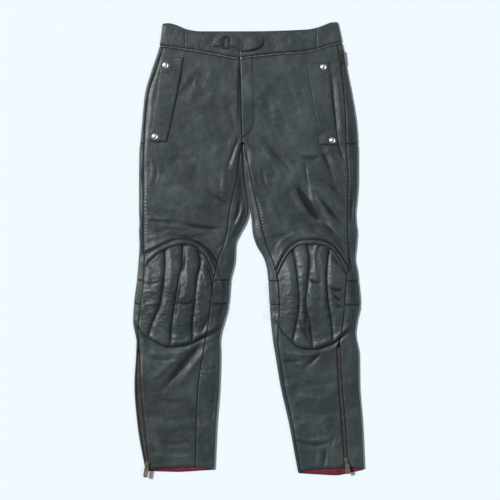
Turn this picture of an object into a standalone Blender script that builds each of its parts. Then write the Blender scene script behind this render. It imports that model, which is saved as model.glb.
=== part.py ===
"""Motorcycle trousers in matt dark leather, laid flat with the front up.

Millimetres in the tables. The waist is towards +Y, the wearer's left leg
towards +X, the floor is z = 0. Two flattened leg tubes run up into the seat.
The front panels carry the folds and the domed knees; the back panels lie on
the floor and wrap round both edges as far as the seams that show in front.
Neighbouring pieces stand a seam's width apart.
"""
import math
from typing import Callable, NamedTuple

import bmesh
import bpy
from mathutils import Vector

MM = 0.001
WALL = 1.8
THIN_WALL = 1.1
SEAM = 0.4
SIDE_HALF = 0.32
EDGE_RADIUS = 3.7
EDGE_BLEND = 16.0
CROTCH_Y = 250.0
CROTCH_STEP = 3.0
HALF_ZIP = 2.3
LAY_GAP = 0.35


class Station(NamedTuple):
    """One level of a leg: where its edges and its two front seams lie."""

    y: float
    outer: float
    seam: float
    inner_seam: float
    inner_edge: float


class Gore(NamedTuple):
    """One level of the knee: where its three inner seams lie."""

    y: float
    first: float
    second: float
    third: float


class Arc(NamedTuple):
    """One place across the knee: the rim's top, the rim's foot, the knee's foot."""

    x: float
    rim_top: float
    rim_foot: float
    foot: float


class Zip(NamedTuple):
    """One level of an ankle zip: its two edges."""

    y: float
    outer: float
    inner: float


class Fold(NamedTuple):
    """A fold through three places; lift is above the cloth, or below it."""

    x0: float
    y0: float
    x1: float
    y1: float
    x2: float
    y2: float
    width: float
    lift: float


class Level(NamedTuple):
    """A value at a place along one axis."""

    at: float
    value: float


# The wearer's right leg, at -X.
RIGHT_STATIONS = (
    Station(539.3, -200.9, -191.5, -20.0, -20.0),
    Station(480.6, -209.2, -199.8, -20.0, -20.0),
    Station(424.2, -226.8, -217.4, -18.8, -18.8),
    Station(367.8, -243.2, -234.5, -17.2, -17.2),
    Station(297.3, -250.3, -242.5, -16.0, -16.0),
    Station(255.0, -254.3, -245.1, -13.9, -13.9),
    Station(236.2, -256.2, -245.8, -17.6, -13.6),
    Station(170.4, -257.3, -246.5, -26.1, -10.1),
    Station(118.7, -257.3, -246.8, -38.3, -2.6),
    Station(90.5, -257.3, -246.8, -44.4, -0.2),
    Station(67.0, -256.2, -246.5, -47.2, -5.9),
    Station(43.5, -256.9, -246.5, -50.1, -19.3),
    Station(15.3, -256.2, -246.5, -56.6, -30.6),
    Station(-22.3, -257.8, -245.1, -69.6, -33.1),
    Station(-69.3, -262.5, -246.0, -81.1, -42.5),
    Station(-125.7, -269.1, -252.6, -88.1, -48.2),
    Station(-168.0, -270.7, -258.3, -93.3, -57.6),
    Station(-191.5, -266.7, -258.7, -97.1, -65.1),
    Station(-215.0, -263.0, -258.3, -101.3, -68.4),
    Station(-243.2, -264.4, -257.8, -105.5, -67.0),
    Station(-316.1, -267.7, -257.8, -116.8, -69.3),
    Station(-410.1, -261.1, -250.3, -121.7, -76.1),
    Station(-518.2, -242.1, -232.2, -124.3, -81.1),
)
RIGHT_GORES = (
    Gore(24.7, -195.5, -153.9, -128.1),
    Gore(-27.0, -195.5, -153.9, -112.1),
    Gore(-67.0, -197.6, -163.3, -119.9),
    Gore(-123.4, -205.6, -171.3, -126.2),
    Gore(-175.1, -226.8, -179.8, -131.4),
    Gore(-233.8, -243.2, -184.5, -131.8),
)
RIGHT_ARCS = (
    Arc(-266.7, -27.0, -76.4, -165.7),
    Arc(-245.6, -8.2, -43.5, -197.6),
    Arc(-226.8, 1.2, -22.3, -210.3),
    Arc(-208.0, 10.6, -5.4, -219.7),
    Arc(-189.2, 20.0, 5.4, -225.6),
    Arc(-170.4, 26.6, 10.6, -225.4),
    Arc(-151.6, 29.4, 13.9, -222.5),
    Arc(-132.8, 25.6, 11.5, -216.9),
    Arc(-114.0, 17.6, -1.2, -206.6),
    Arc(-95.2, 2.6, -24.7, -197.6),
    Arc(-78.7, -17.6, -69.3, -190.6),
    Arc(-64.6, -41.1, -106.9, -185.9),
)
RIGHT_ZIP = (
    Zip(-238.5, -261.6, -255.9),
    Zip(-316.1, -263.4, -253.3),
    Zip(-410.1, -257.1, -242.8),
    Zip(-518.2, -238.1, -232.7),
)
RIGHT_FOLDS = (
    Fold(-236.2, 75.7, -200.9, 75.4, -161.0, 71.7, 9, 2.4),
    Fold(-151.6, 62.3, -106.9, 54.1, -59.9, 52.2, 8, -2.4),
    Fold(-58.8, 189.2, -57.6, 156.3, -58.8, 125.7, 9, 1.7),
    Fold(-231.5, 45.8, -161.0, 34.1, -90.5, 36.4, 9, -1.6),
    Fold(-24.0, 262.0, -35.2, 235.0, -48.4, 193.9, 8, -1.8),
    Fold(-106.9, -210.3, -149.2, -262.0, -203.3, -327.8, 10, -2.4),
    Fold(-224.4, 212.7, -222.1, 184.5, -226.8, 153.9, 8, 1.2),
    Fold(-29.4, 116.3, -29.4, 90.5, -38.8, 67.0, 7, -1.8),
    Fold(-238.5, -59.9, -231.5, -27.0, -212.7, -8.2, 6, 1.0),
)

# The wearer's left leg, at +X.
LEFT_STATIONS = (
    Station(539.3, 209.2, 199.8, -20.0, -20.0),
    Station(480.6, 220.7, 210.3, -20.0, -20.0),
    Station(424.2, 231.5, 220.4, -18.8, -18.8),
    Station(367.8, 242.1, 224.9, -17.2, -17.2),
    Station(297.3, 252.6, 229.1, -16.0, -16.0),
    Station(255.0, 255.7, 230.1, -13.9, -13.9),
    Station(236.2, 256.9, 231.5, -8.2, -12.7),
    Station(170.4, 257.3, 234.8, 6.3, -8.2),
    Station(118.7, 254.0, 234.3, 16.7, 0.0),
    Station(90.5, 250.7, 234.3, 24.0, 4.9),
    Station(67.0, 252.2, 233.8, 28.9, 8.0),
    Station(43.5, 255.0, 233.8, 34.8, 10.3),
    Station(15.3, 252.6, 234.8, 43.0, 17.6),
    Station(-22.3, 250.3, 236.6, 56.2, 37.8),
    Station(-45.8, 255.0, 234.3, 63.7, 44.4),
    Station(-74.0, 258.3, 229.6, 69.8, 47.2),
    Station(-125.7, 262.0, 225.6, 73.1, 50.1),
    Station(-168.0, 254.0, 223.5, 71.7, 53.3),
    Station(-196.2, 251.2, 218.8, 70.3, 55.7),
    Station(-219.7, 255.0, 214.1, 70.3, 59.5),
    Station(-243.2, 258.7, 212.7, 73.1, 63.2),
    Station(-316.1, 260.1, 217.4, 84.4, 75.4),
    Station(-410.1, 266.7, 228.2, 103.6, 95.6),
    Station(-518.2, 272.1, 234.8, 123.4, 116.3),
)
LEFT_GORES = (
    Gore(24.7, 97.5, 135.1, 193.9),
    Gore(-27.0, 110.2, 143.6, 185.7),
    Gore(-67.0, 115.4, 139.8, 184.5),
    Gore(-123.4, 118.7, 133.7, 187.8),
    Gore(-175.1, 111.6, 144.5, 196.2),
    Gore(-238.5, 97.5, 151.6, 198.6),
)
LEFT_ARCS = (
    Arc(50.5, -74.0, -116.3, -158.6),
    Arc(67.0, -41.1, -62.3, -170.4),
    Arc(83.4, -8.7, -28.4, -194.8),
    Arc(102.2, 12.9, 0.2, -215.0),
    Arc(121.0, 23.7, 12.0, -229.1),
    Arc(139.8, 27.5, 14.8, -232.4),
    Arc(158.6, 27.5, 13.9, -231.0),
    Arc(177.4, 24.2, 10.6, -226.3),
    Arc(196.2, 15.3, 2.1, -218.8),
    Arc(212.7, -3.5, -21.4, -207.0),
    Arc(229.1, -29.4, -55.2, -192.9),
    Arc(245.6, -52.9, -88.1, -182.1),
)
LEFT_ZIP = (
    Zip(-226.8, 216.4, 208.0),
    Zip(-316.1, 221.1, 211.7),
    Zip(-410.1, 229.1, 219.3),
    Zip(-518.2, 235.2, 226.8),
)
LEFT_FOLDS = (
    Fold(117.0, 148.1, 139.8, 106.9, 168.0, 71.7, 8, -2.8),
    Fold(144.5, 148.1, 153.9, 109.3, 169.0, 74.0, 7, 2.4),
    Fold(148.5, 149.9, 179.8, 90.5, 212.7, 24.7, 8, 2.8),
    Fold(158.6, 135.1, 186.8, 99.9, 219.0, 62.3, 7, -2.4),
    Fold(148.5, 153.9, 186.8, 130.4, 226.8, 88.1, 8, 2.6),
    Fold(36.4, 264.4, 69.3, 224.4, 102.2, 184.5, 9, -1.8),
    Fold(165.7, 240.9, 184.5, 208.0, 200.9, 161.0, 8, -1.6),
    Fold(193.9, 410.1, 202.1, 330.2, 210.3, 245.6, 7, -1.6),
    Fold(-5.2, 210.3, 8.2, 179.8, 19.3, 130.4, 8, 2.2),
    Fold(168.0, -238.5, 151.6, -257.3, 132.8, -276.1, 9, -2.4),
    Fold(179.8, -464.1, 179.8, -487.6, 177.4, -511.1, 8, -1.8),
    Fold(121.0, 219.7, 144.5, 212.7, 168.0, 218.6, 8, -1.4),
    Fold(83.4, -259.7, 102.2, -259.7, 121.0, -259.7, 8, -1.6),
)

# Heights of the cloth over the flat-lying legs, by level.
FULLNESS = (
    Level(560, 0.0), Level(470, 0.4), Level(420, 3.0), Level(330, 4.4), Level(240, 4.0),
    Level(120, 4.6), Level(20, 3.6), Level(-60, 3.0), Level(-180, 2.6), Level(-260, 2.8),
    Level(-400, 2.0), Level(-500, 0.8), Level(-560, 0.4),
)
KNEE_RISE = 15.0
KNEE_HALF_HEIGHT = 150.0
GORE_FADE = 70.0
GORE_GROOVE = 1.8
GORE_GROOVE_WIDTH = 4.2
RIM_RISE = 2.2
RIM_WIDTH = 9.0

# The waist: the seam under the band, the band's top in front and behind.
WAIST_SEAM = (
    Level(-208.0, 480.6), Level(-137.5, 471.2), Level(-62.3, 458.5), Level(-20.0, 451.0),
    Level(8.2, 454.7), Level(74.0, 461.8), Level(132.8, 466.5), Level(163.3, 472.6),
    Level(191.5, 481.5), Level(222.1, 489.5),
)
WAIST_BACK_SEAM = (
    Level(-212.7, 479.6), Level(-114.0, 473.5), Level(3.5, 471.2), Level(121.0, 476.8),
    Level(224.4, 489.5),
)
BAND_FRONT_TOP = (
    Level(-205.6, 533.2), Level(-179.8, 522.9), Level(-142.2, 514.9), Level(-85.8, 507.8),
    Level(-20.0, 499.4), Level(31.7, 507.4), Level(97.5, 512.1), Level(151.6, 518.2),
    Level(182.1, 528.5), Level(215.0, 537.9),
)
BAND_BACK_TOP = (
    Level(-205.6, 534.2), Level(-186.8, 534.6), Level(-170.4, 530.9), Level(-142.2, 520.1),
    Level(-114.0, 515.8), Level(3.5, 516.3), Level(135.1, 519.6), Level(163.3, 525.2),
    Level(182.1, 531.8), Level(196.2, 537.0), Level(217.4, 538.4),
)
BACK_CENTRE = (Level(-560, -12.9), Level(CROTCH_Y, -12.9), Level(560, 20.0))
BAND_SPLIT_RIGHT = -149.2
BAND_SPLIT_LEFT = 161.0

# The hems: the front panel's edge and the back panel's edge.
RIGHT_HEM_FRONT = (
    Level(-245.6, -518.2), Level(-208.0, -511.6), Level(-170.4, -508.8), Level(-125.7, -506.9),
    Level(-102.2, -511.1), Level(-78.7, -514.9),
)
RIGHT_HEM_BACK = (
    Level(-245.6, -519.1), Level(-208.0, -520.3), Level(-165.7, -521.0), Level(-114.0, -518.2),
    Level(-78.7, -515.8),
)
LEFT_HEM_FRONT = (
    Level(114.0, -522.9), Level(135.1, -515.8), Level(175.1, -512.1), Level(219.7, -509.7),
    Level(250.3, -508.8), Level(276.1, -513.5),
)
LEFT_HEM_BACK = (
    Level(114.0, -523.8), Level(163.3, -526.6), Level(205.6, -528.5), Level(238.5, -523.3),
    Level(276.1, -514.9),
)
ZIP_SPREAD = 14.0
LINING_DEPTH = 46.0
LINING_SIDE = 6.0

# The pocket flaps: outer edge, inner edge, by level; top and foot across.
RIGHT_FLAP_OUTER = (
    Level(454.7, -203.3), Level(431.2, -206.1), Level(403.0, -208.9), Level(351.3, -216.2),
    Level(302.0, -224.0), Level(257.3, -232.7),
)
RIGHT_FLAP_INNER = (
    Level(454.7, -151.1), Level(435.9, -154.2), Level(403.0, -159.3), Level(374.8, -165.2),
    Level(313.7, -178.1), Level(255.0, -190.8),
)
RIGHT_FLAP_TOP = (
    Level(-212.7, 446.5), Level(-200.9, 449.1), Level(-189.2, 453.8), Level(-168.0, 454.3),
    Level(-151.6, 453.8), Level(-137.5, 453.3),
)
RIGHT_FLAP_FOOT = (
    Level(-240.9, 258.3), Level(-231.5, 256.6), Level(-219.7, 254.0), Level(-189.2, 253.6),
    Level(-170.4, 253.6),
)
LEFT_FLAP_OUTER = (
    Level(443.0, 187.3), Level(421.8, 189.6), Level(377.2, 193.6), Level(337.2, 197.6),
    Level(297.3, 203.5), Level(245.6, 208.9),
)
LEFT_FLAP_INNER = (
    Level(443.0, 134.2), Level(415.7, 138.4), Level(388.9, 144.3), Level(325.5, 154.2),
    Level(297.3, 159.1), Level(247.9, 166.1),
)
LEFT_FLAP_TOP = (
    Level(121.0, 438.7), Level(135.1, 439.2), Level(161.0, 440.6), Level(189.2, 441.6),
    Level(200.9, 442.0),
)
LEFT_FLAP_FOOT = (
    Level(156.3, 248.9), Level(165.7, 248.4), Level(186.8, 247.0), Level(208.0, 247.5),
    Level(219.7, 247.9),
)
SNAP_RADIUS = 7.4
SNAP_RISE = 3.0
RIGHT_SNAPS = ((-194.1, 434.0), (-219.3, 267.2))
LEFT_SNAPS = ((176.5, 429.8), (197.2, 258.3))

# The waist strap with its buckle, over the fly.
TAB_LEFT = -43.5
TAB_RIGHT = 36.9
TAB_TOP = (
    Level(-48.2, 500.3), Level(-29.4, 505.0), Level(-5.9, 508.3), Level(17.6, 509.2),
    Level(29.4, 505.0), Level(37.4, 497.0),
)
TAB_FOOT = (
    Level(-48.2, 480.6), Level(-41.1, 479.6), Level(-31.7, 476.8), Level(-22.3, 470.2),
    Level(-12.9, 466.9), Level(3.5, 468.8), Level(24.7, 475.9), Level(32.9, 482.9),
    Level(37.4, 492.3),
)
BUCKLE_X = (-62.7, -44.2)
BUCKLE_Y = (474.0, 503.6)
BUCKLE_BAR = 4.6
BUCKLE_THICK = 2.4
HOLDER_X = (-82.7, -63.2)
HOLDER_Y = (477.8, 499.8)

# The fly: the flat width on top of the left front, with its curved foot.
FLY_WIDTH = 29.0
FLY_TURN_Y = 314.0
FLY_FOOT_Y = 268.0
FLY_RISE = 1.5

ELASTIC_X = (210.8, 222.5)
ELASTIC_Y = (438.3, 471.2)
ELASTIC_RIBS = 5

# The ankle sliders and their pulls.
SLIDER_LENGTH = 12.0
SLIDER_WIDTH = 8.6
SLIDER_THICK = 2.8
BAIL_LENGTH = 8.0
BAIL_WIDTH = 2.4
BAIL_RISE = 4.4
BAIL_BAR = 1.2
PULL_LENGTH = 31.0
PULL_WIDTH = 10.4
PULL_THICK = 1.6
PULL_EYE = 6.2
PIVOT_RISE = 1.7
SLIDER_LEAN = {"r": -0.14, "l": 0.18}
RIGHT_SLIDER_Y = -501.7
LEFT_SLIDER_Y = -493.3


def clamp(value: float, low: float, high: float) -> float:
    return max(low, min(high, value))


def smooth(value: float) -> float:
    value = clamp(value, 0.0, 1.0)
    return value * value * (3.0 - 2.0 * value)


def lerp(start: float, end: float, share: float) -> float:
    return start + (end - start) * share


class Curve:
    """A smooth line through a table's rows."""

    def __init__(self, rows):
        rows = sorted(rows)
        self.at = [row[0] for row in rows]
        self.value = [row[1] for row in rows]
        steps = [
            (self.value[i + 1] - self.value[i]) / (self.at[i + 1] - self.at[i])
            for i in range(len(rows) - 1)
        ]
        self.slope = [steps[0]]
        for before, after in zip(steps, steps[1:]):
            same_way = before * after > 0.0
            self.slope.append(2.0 * before * after / (before + after) if same_way else 0.0)
        self.slope.append(steps[-1])

    def __call__(self, at: float) -> float:
        if at <= self.at[0]:
            return self.value[0] + self.slope[0] * (at - self.at[0])
        if at >= self.at[-1]:
            return self.value[-1] + self.slope[-1] * (at - self.at[-1])
        i = max(k for k in range(len(self.at) - 1) if self.at[k] <= at)
        span = self.at[i + 1] - self.at[i]
        t = (at - self.at[i]) / span
        return (
            self.value[i] * (1 + 2 * t) * (1 - t) ** 2
            + self.slope[i] * span * t * (1 - t) ** 2
            + self.value[i + 1] * t * t * (3 - 2 * t)
            - self.slope[i + 1] * span * t * t * (1 - t)
        )


def fold_lift(fold: Fold, x: float, y: float) -> float:
    """Height that one fold adds at a place."""
    steps = 8
    best, place = 1e9, 0.0
    for i in range(steps + 1):
        t = i / steps
        pull_x = 2 * fold.x1 - (fold.x0 + fold.x2) / 2
        pull_y = 2 * fold.y1 - (fold.y0 + fold.y2) / 2
        fx = (1 - t) ** 2 * fold.x0 + 2 * t * (1 - t) * pull_x + t * t * fold.x2
        fy = (1 - t) ** 2 * fold.y0 + 2 * t * (1 - t) * pull_y + t * t * fold.y2
        gap = (fx - x) ** 2 + (fy - y) ** 2
        if gap < best:
            best, place = gap, t
    if best > (3.0 * fold.width) ** 2:
        return 0.0
    ends = 0.35 + 0.65 * math.sin(math.pi * place)
    return fold.lift * ends * math.exp(-best / fold.width ** 2)


fullness = Curve(FULLNESS)
waist_seam = Curve(WAIST_SEAM)
waist_back_seam = Curve(WAIST_BACK_SEAM)
band_front_top = Curve(BAND_FRONT_TOP)
band_back_top = Curve(BAND_BACK_TOP)
back_centre = Curve(BACK_CENTRE)


class Leg:
    """One leg with its half of the seat: lines in plan and the front's height."""

    def __init__(self, tag, side, stations, gores, arcs, zip_rows, folds, hems):
        self.tag = tag
        self.side = side
        self.outer = Curve([(s.y, s.outer) for s in stations])
        self.seam_line = Curve([(s.y, s.seam) for s in stations])
        self.inner_line = Curve([(s.y, s.inner_seam) for s in stations])
        self.inner_edge = Curve([(s.y, s.inner_edge) for s in stations])
        self.gores = [Curve([(g.y, g[k]) for g in gores]) for k in (1, 2, 3)]
        self.gore_levels = (max(g.y for g in gores), min(g.y for g in gores))
        self.rim_top = Curve([(a.x, a.rim_top) for a in arcs])
        self.rim_foot = Curve([(a.x, a.rim_foot) for a in arcs])
        self.knee_foot = Curve([(a.x, a.foot) for a in arcs])
        self.zip_line = Curve([(z.y, z.outer) for z in zip_rows])
        self.zip_inner = Curve([(z.y, z.inner) for z in zip_rows])
        self.zip_top = max(z.y for z in zip_rows)
        self.folds = folds
        self.hem_front = Curve(hems[0])
        self.hem_back = Curve(hems[1])
        self.knee_x = sum(a.x for a in arcs) / len(arcs)
        self.knee_y = -96.0
        self.knee_half = 118.0

    def clear(self, line: float, y: float) -> float:
        """Keep a line clear of the rounded outer edge."""
        least = self.outer(y) - self.side * (EDGE_RADIUS + 0.9)
        return min(line, least) if self.side > 0 else max(line, least)

    def seam(self, y: float) -> float:
        return self.clear(self.seam_line(y), y)

    def inner_seam(self, y: float) -> float:
        """Fly line above the crotch; below it, kept clear of the inner edge."""
        line = self.inner_line(y)
        least = self.inner_edge(y) + self.side * (EDGE_RADIUS + 0.9)
        kept = max(line, least) if self.side > 0 else min(line, least)
        return lerp(kept, line, clamp((y - CROTCH_Y) / CROTCH_STEP, 0.0, 1.0))

    def zip_outer(self, y: float) -> float:
        return self.clear(self.zip_line(y), y)

    def front_side(self, y: float) -> float:
        """Outer edge of the front panels: the seam, then the ankle zip."""
        share = clamp((y - self.zip_top) / ZIP_SPREAD, 0.0, 1.0)
        return lerp(self.zip_inner(y), self.seam(y), share)

    def column(self, number: int, y: float) -> float:
        """One of the front's column lines, four to each gore."""
        ends = sorted((self.front_side(y), self.inner_seam(y)))
        lines = [ends[0] + SIDE_HALF]
        high, low = self.gore_levels
        even = smooth(max((y - high) / GORE_FADE, (low - y) / GORE_FADE))
        for k, gore in enumerate(self.gores, start=1):
            lines.append(lerp(gore(clamp(y, low, high)), lerp(*ends, k / 4), even))
        lines.append(ends[1] - SIDE_HALF)
        k = min(number // 4, 3)
        return lerp(lines[k], lines[k + 1], (number - 4 * k) / 4)

    def height(self, x: float, y: float) -> float:
        """Height of the front's outer face."""
        from_outer = (self.outer(y) - x) * self.side
        from_inner = (x - self.inner_edge(y)) * self.side
        near = smooth((from_outer - EDGE_RADIUS) / EDGE_BLEND)
        below = smooth((CROTCH_Y + 6.0 - y) / 40.0)
        near *= 1.0 - below * (1.0 - smooth((from_inner - EDGE_RADIUS) / EDGE_BLEND))
        lift = fullness(y) + sum(fold_lift(fold, x, y) for fold in self.folds)
        away = ((x - self.knee_x) / self.knee_half) ** 2 + ((y - self.knee_y) / KNEE_HALF_HEIGHT) ** 2
        if away < 1.0:
            lift += KNEE_RISE * (1.0 - away) ** 1.3
        if self.knee_foot(x) < y < self.rim_top(x) + 20.0:
            mid = 0.5 * (self.rim_top(x) + self.rim_foot(x))
            lift += RIM_RISE * math.exp(-((y - mid) / RIM_WIDTH) ** 2)
            if y < self.rim_foot(x):
                fade = smooth((y - self.knee_foot(x)) / 14.0)
                for gore in self.gores:
                    across = (x - gore(y)) / GORE_GROOVE_WIDTH
                    lift -= GORE_GROOVE * fade * math.exp(-across * across)
        return 2.0 * EDGE_RADIUS + near * lift + self.fly(x, y)

    def fly(self, x: float, y: float) -> float:
        """Extra height of the fly's flat width on the left front."""
        if self.side < 0 or y < FLY_FOOT_Y or y > waist_seam(x) + HALF_ZIP:
            return 0.0
        width = FLY_WIDTH
        if y < FLY_TURN_Y:
            share = (y - FLY_FOOT_Y) / (FLY_TURN_Y - FLY_FOOT_Y)
            width *= math.sqrt(max(0.0, 1.0 - (1.0 - share) ** 2))
        return FLY_RISE * smooth((width - (x - self.inner_seam(y))) / 3.0)


RIGHT = Leg("r", -1, RIGHT_STATIONS, RIGHT_GORES, RIGHT_ARCS, RIGHT_ZIP, RIGHT_FOLDS,
            (RIGHT_HEM_FRONT, RIGHT_HEM_BACK))
LEFT = Leg("l", 1, LEFT_STATIONS, LEFT_GORES, LEFT_ARCS, LEFT_ZIP, LEFT_FOLDS,
           (LEFT_HEM_FRONT, LEFT_HEM_BACK))


class Finish(NamedTuple):
    """A plain finish for one kind of material."""

    name: str
    color: tuple
    roughness: float
    metallic: float


LEATHER = Finish("leather_slate", (0.045, 0.056, 0.060), 0.55, 0.0)
LINING = Finish("lining_crimson", (0.42, 0.03, 0.03), 0.7, 0.0)
ELASTIC = Finish("elastic_black", (0.012, 0.012, 0.013), 0.8, 0.0)
TAPE = Finish("zip_tape_black", (0.014, 0.014, 0.015), 0.8, 0.0)
TEETH = Finish("zip_teeth_silver", (0.55, 0.55, 0.53), 0.35, 1.0)
SILVER = Finish("snap_silver", (0.62, 0.62, 0.62), 0.3, 1.0)
BRASS = Finish("slider_brass", (0.32, 0.25, 0.13), 0.38, 1.0)
BUCKLE = Finish("buckle_black", (0.015, 0.015, 0.016), 0.35, 0.0)
FINISHES: dict = {}


def material(finish: Finish):
    if finish.name not in FINISHES:
        mat = bpy.data.materials.new(finish.name)
        mat.use_nodes = True
        shader = mat.node_tree.nodes["Principled BSDF"]
        shader.inputs["Base Color"].default_value = (*finish.color, 1.0)
        shader.inputs["Roughness"].default_value = finish.roughness
        shader.inputs["Metallic"].default_value = finish.metallic
        FINISHES[finish.name] = mat
    return FINISHES[finish.name]


def add_body(name: str, finish: Finish, bm) -> object:
    """Turn a closed mesh into one named piece."""
    bmesh.ops.recalc_face_normals(bm, faces=bm.faces[:])
    mesh = bpy.data.meshes.new(name)
    bm.to_mesh(mesh)
    bm.free()
    mesh.materials.append(material(finish))
    piece = bpy.data.objects.new(name, mesh)
    bpy.context.scene.collection.objects.link(piece)
    return piece


def add_shell(name: str, finish: Finish, outer, inner) -> object:
    """A closed wall between two grids of points with the same rows."""
    bm = bmesh.new()
    rows, cols = len(outer), len(outer[0])
    face_up = [[bm.verts.new(Vector(p) * MM) for p in row] for row in outer]
    face_in = [[bm.verts.new(Vector(p) * MM) for p in row] for row in inner]
    for r in range(rows - 1):
        for c in range(cols - 1):
            for grid in (face_up, face_in):
                bm.faces.new((grid[r][c], grid[r][c + 1], grid[r + 1][c + 1], grid[r + 1][c]))
    rim = [(0, c) for c in range(cols)] + [(r, cols - 1) for r in range(1, rows)]
    rim += [(rows - 1, c) for c in range(cols - 2, -1, -1)] + [(r, 0) for r in range(rows - 2, 0, -1)]
    for (r0, c0), (r1, c1) in zip(rim, rim[1:] + rim[:1]):
        bm.faces.new((face_up[r0][c0], face_up[r1][c1], face_in[r1][c1], face_in[r0][c0]))
    return add_body(name, finish, bm)


def shares(rows: int, top_y: float, foot_y: float, marks=()):
    """Even row places with rows on the marks too."""
    marked = [(top_y - mark) / (top_y - foot_y) for mark in marks]
    even = [r / rows for r in range(rows + 1)]
    kept = [at for at in even if at in (0.0, 1.0) or all(abs(at - m) > 0.3 / rows for m in marked)]
    return sorted(kept + marked)


def plan_grid(left, right, top, foot, cols: int, rows: int, places=None):
    """Plan places of a patch between two lines of y and two lines of x."""
    grid = []
    for v in places or shares(rows, 0.0, 1.0):
        line = []
        for c in range(cols + 1):
            u = c / cols
            y = lerp(top(0.5 * (left(0.0) + right(0.0))), foot(0.5 * (left(0.0) + right(0.0))), v)
            x = 0.0
            for _ in range(12):
                x = lerp(left(y), right(y), u)
                y = 0.5 * y + 0.5 * lerp(top(x), foot(x), v)
            line.append((lerp(left(y), right(y), u), y))
        grid.append(line)
    return grid


def plan_columns(leg, first: int, last: int, top, foot, rows: int, places=None):
    """Plan places of a front piece on the leg's own column lines."""
    grid = []
    half = 0.5 * SEAM
    for v in places or shares(rows, 0.0, 1.0):
        line = []
        for number in range(first, last + 1):
            inset = half * (number == first and first > 0) - half * (number == last and last < 16)
            x = leg.knee_x
            y = lerp(top(x), foot(x), v)
            for _ in range(12):
                x = leg.column(number, y) + inset
                y = 0.5 * y + 0.5 * lerp(top(x), foot(x), v)
            line.append((leg.column(number, y) + inset, y))
        grid.append(line)
    return grid


def aside(line: Callable, by: float) -> Callable:
    """A line moved square to itself."""
    def moved(at: float) -> float:
        slope = clamp(line(at + 0.5) - line(at - 0.5), -3.0, 3.0)
        return line(at) + by * math.sqrt(1.0 + slope * slope)
    return moved


def ground_under(height: Callable, reach: float) -> Callable:
    """Highest cloth within a short reach of a place."""
    steps = (-reach, 0.0, reach)
    return lambda x, y: max(height(x + dx, y + dy) for dx in steps for dy in steps)


def steepness(height: Callable, x: float, y: float) -> float:
    """How much taller a wall stands on a slope for the same thickness."""
    dx = height(x + 1.0, y) - height(x - 1.0, y)
    dy = height(x, y + 1.0) - height(x, y - 1.0)
    return min(1.6, math.sqrt(1.0 + 0.25 * (dx * dx + dy * dy)))


def add_patch(name, finish, plan, height, wall=WALL, raise_by=0.0) -> object:
    """A panel whose outer face follows the height over its plan."""
    outer = [[(x, y, height(x, y) + raise_by + wall if raise_by else height(x, y)) for x, y in row]
             for row in plan]
    inner = []
    for plan_row, row in zip(plan, outer):
        if raise_by:
            inner.append([(x, y, z - wall) for x, y, z in row])
        else:
            inner.append([(x, y, z - wall * steepness(height, x, y)) for x, y, z in row])
    return add_shell(name, finish, outer, inner)


def shifted(line: Callable, by: float) -> Callable:
    return lambda at: line(at) + by


def level(value: float) -> Callable:
    return lambda at: value


class Wrap(NamedTuple):
    """One place on a cross-section: plan x, both face heights, and which face."""

    x: float
    outer_z: float
    inner_x: float
    inner_z: float
    behind: float


def edge_round(edge: float, side: int, steps: int, upward: bool):
    """The rounded outer edge of a flattened tube, from top to floor or back."""
    places = []
    for k in range(steps + 1):
        turn = k / steps
        turn = 1.0 - turn if upward else turn
        angle = math.pi * (0.5 - turn)
        reach = math.cos(angle)
        lift = math.sin(angle)
        small = EDGE_RADIUS - WALL
        centre = edge - side * EDGE_RADIUS
        places.append(Wrap(centre + side * EDGE_RADIUS * reach, EDGE_RADIUS * (1 + lift),
                           centre + side * small * reach, EDGE_RADIUS + small * lift, turn))
    return places


def on_front(leg: Leg, x: float, y: float) -> Wrap:
    z = leg.height(x, y)
    return Wrap(x, z, x, z - WALL, 0.0)


def on_floor(x: float) -> Wrap:
    return Wrap(x, 0.0, x, WALL, 1.0)


def tube_section(leg: Leg, y: float, seam: float, far: float, closed_far: bool,
                 cuts=(2, 4, 5, 2)):
    """Cross-section from the front seam round the outer edge and along the floor."""
    side = leg.side
    edge = leg.outer(y)
    start = edge - side * EDGE_RADIUS
    places = [on_front(leg, lerp(seam, start, k / cuts[0]), y) for k in range(cuts[0])]
    places += edge_round(edge, side, cuts[1], False)
    end = far + side * EDGE_RADIUS if closed_far else far
    places += [on_floor(lerp(start, end, k / cuts[2])) for k in range(1, cuts[2] + (0 if closed_far else 1))]
    if closed_far:
        places += edge_round(far, -side, cuts[1], True)
        inner = leg.inner_seam(y) - side * SIDE_HALF
        places += [on_front(leg, lerp(end, inner, k / cuts[3]), y) for k in range(1, cuts[3] + 1)]
    return places


def add_wrap(name, finish, section, top, foot, rows, places=None) -> object:
    """A back piece: cross-sections by level, its two ends given across."""
    outer, inner = [], []
    count = len(section(0.5 * (top(0.0, 1.0) + foot(0.0, 1.0))))
    for v in places or shares(rows, 0.0, 1.0):
        row_out, row_in = [], []
        for i in range(count):
            y = lerp(top(0.0, 1.0), foot(0.0, 1.0), v)
            for _ in range(7):
                place = section(y)[i]
                y = lerp(top(place.x, place.behind), foot(place.x, place.behind), v)
            place = section(y)[i]
            row_out.append((place.x, y, place.outer_z))
            row_in.append((place.inner_x, y, place.inner_z))
        outer.append(row_out)
        inner.append(row_in)
    return add_shell(name, finish, outer, inner)


def between(front: Callable, back: Callable) -> Callable:
    """An end line that differs on the front and on the floor side."""
    return lambda x, behind: lerp(front(x), back(x), behind)


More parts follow.
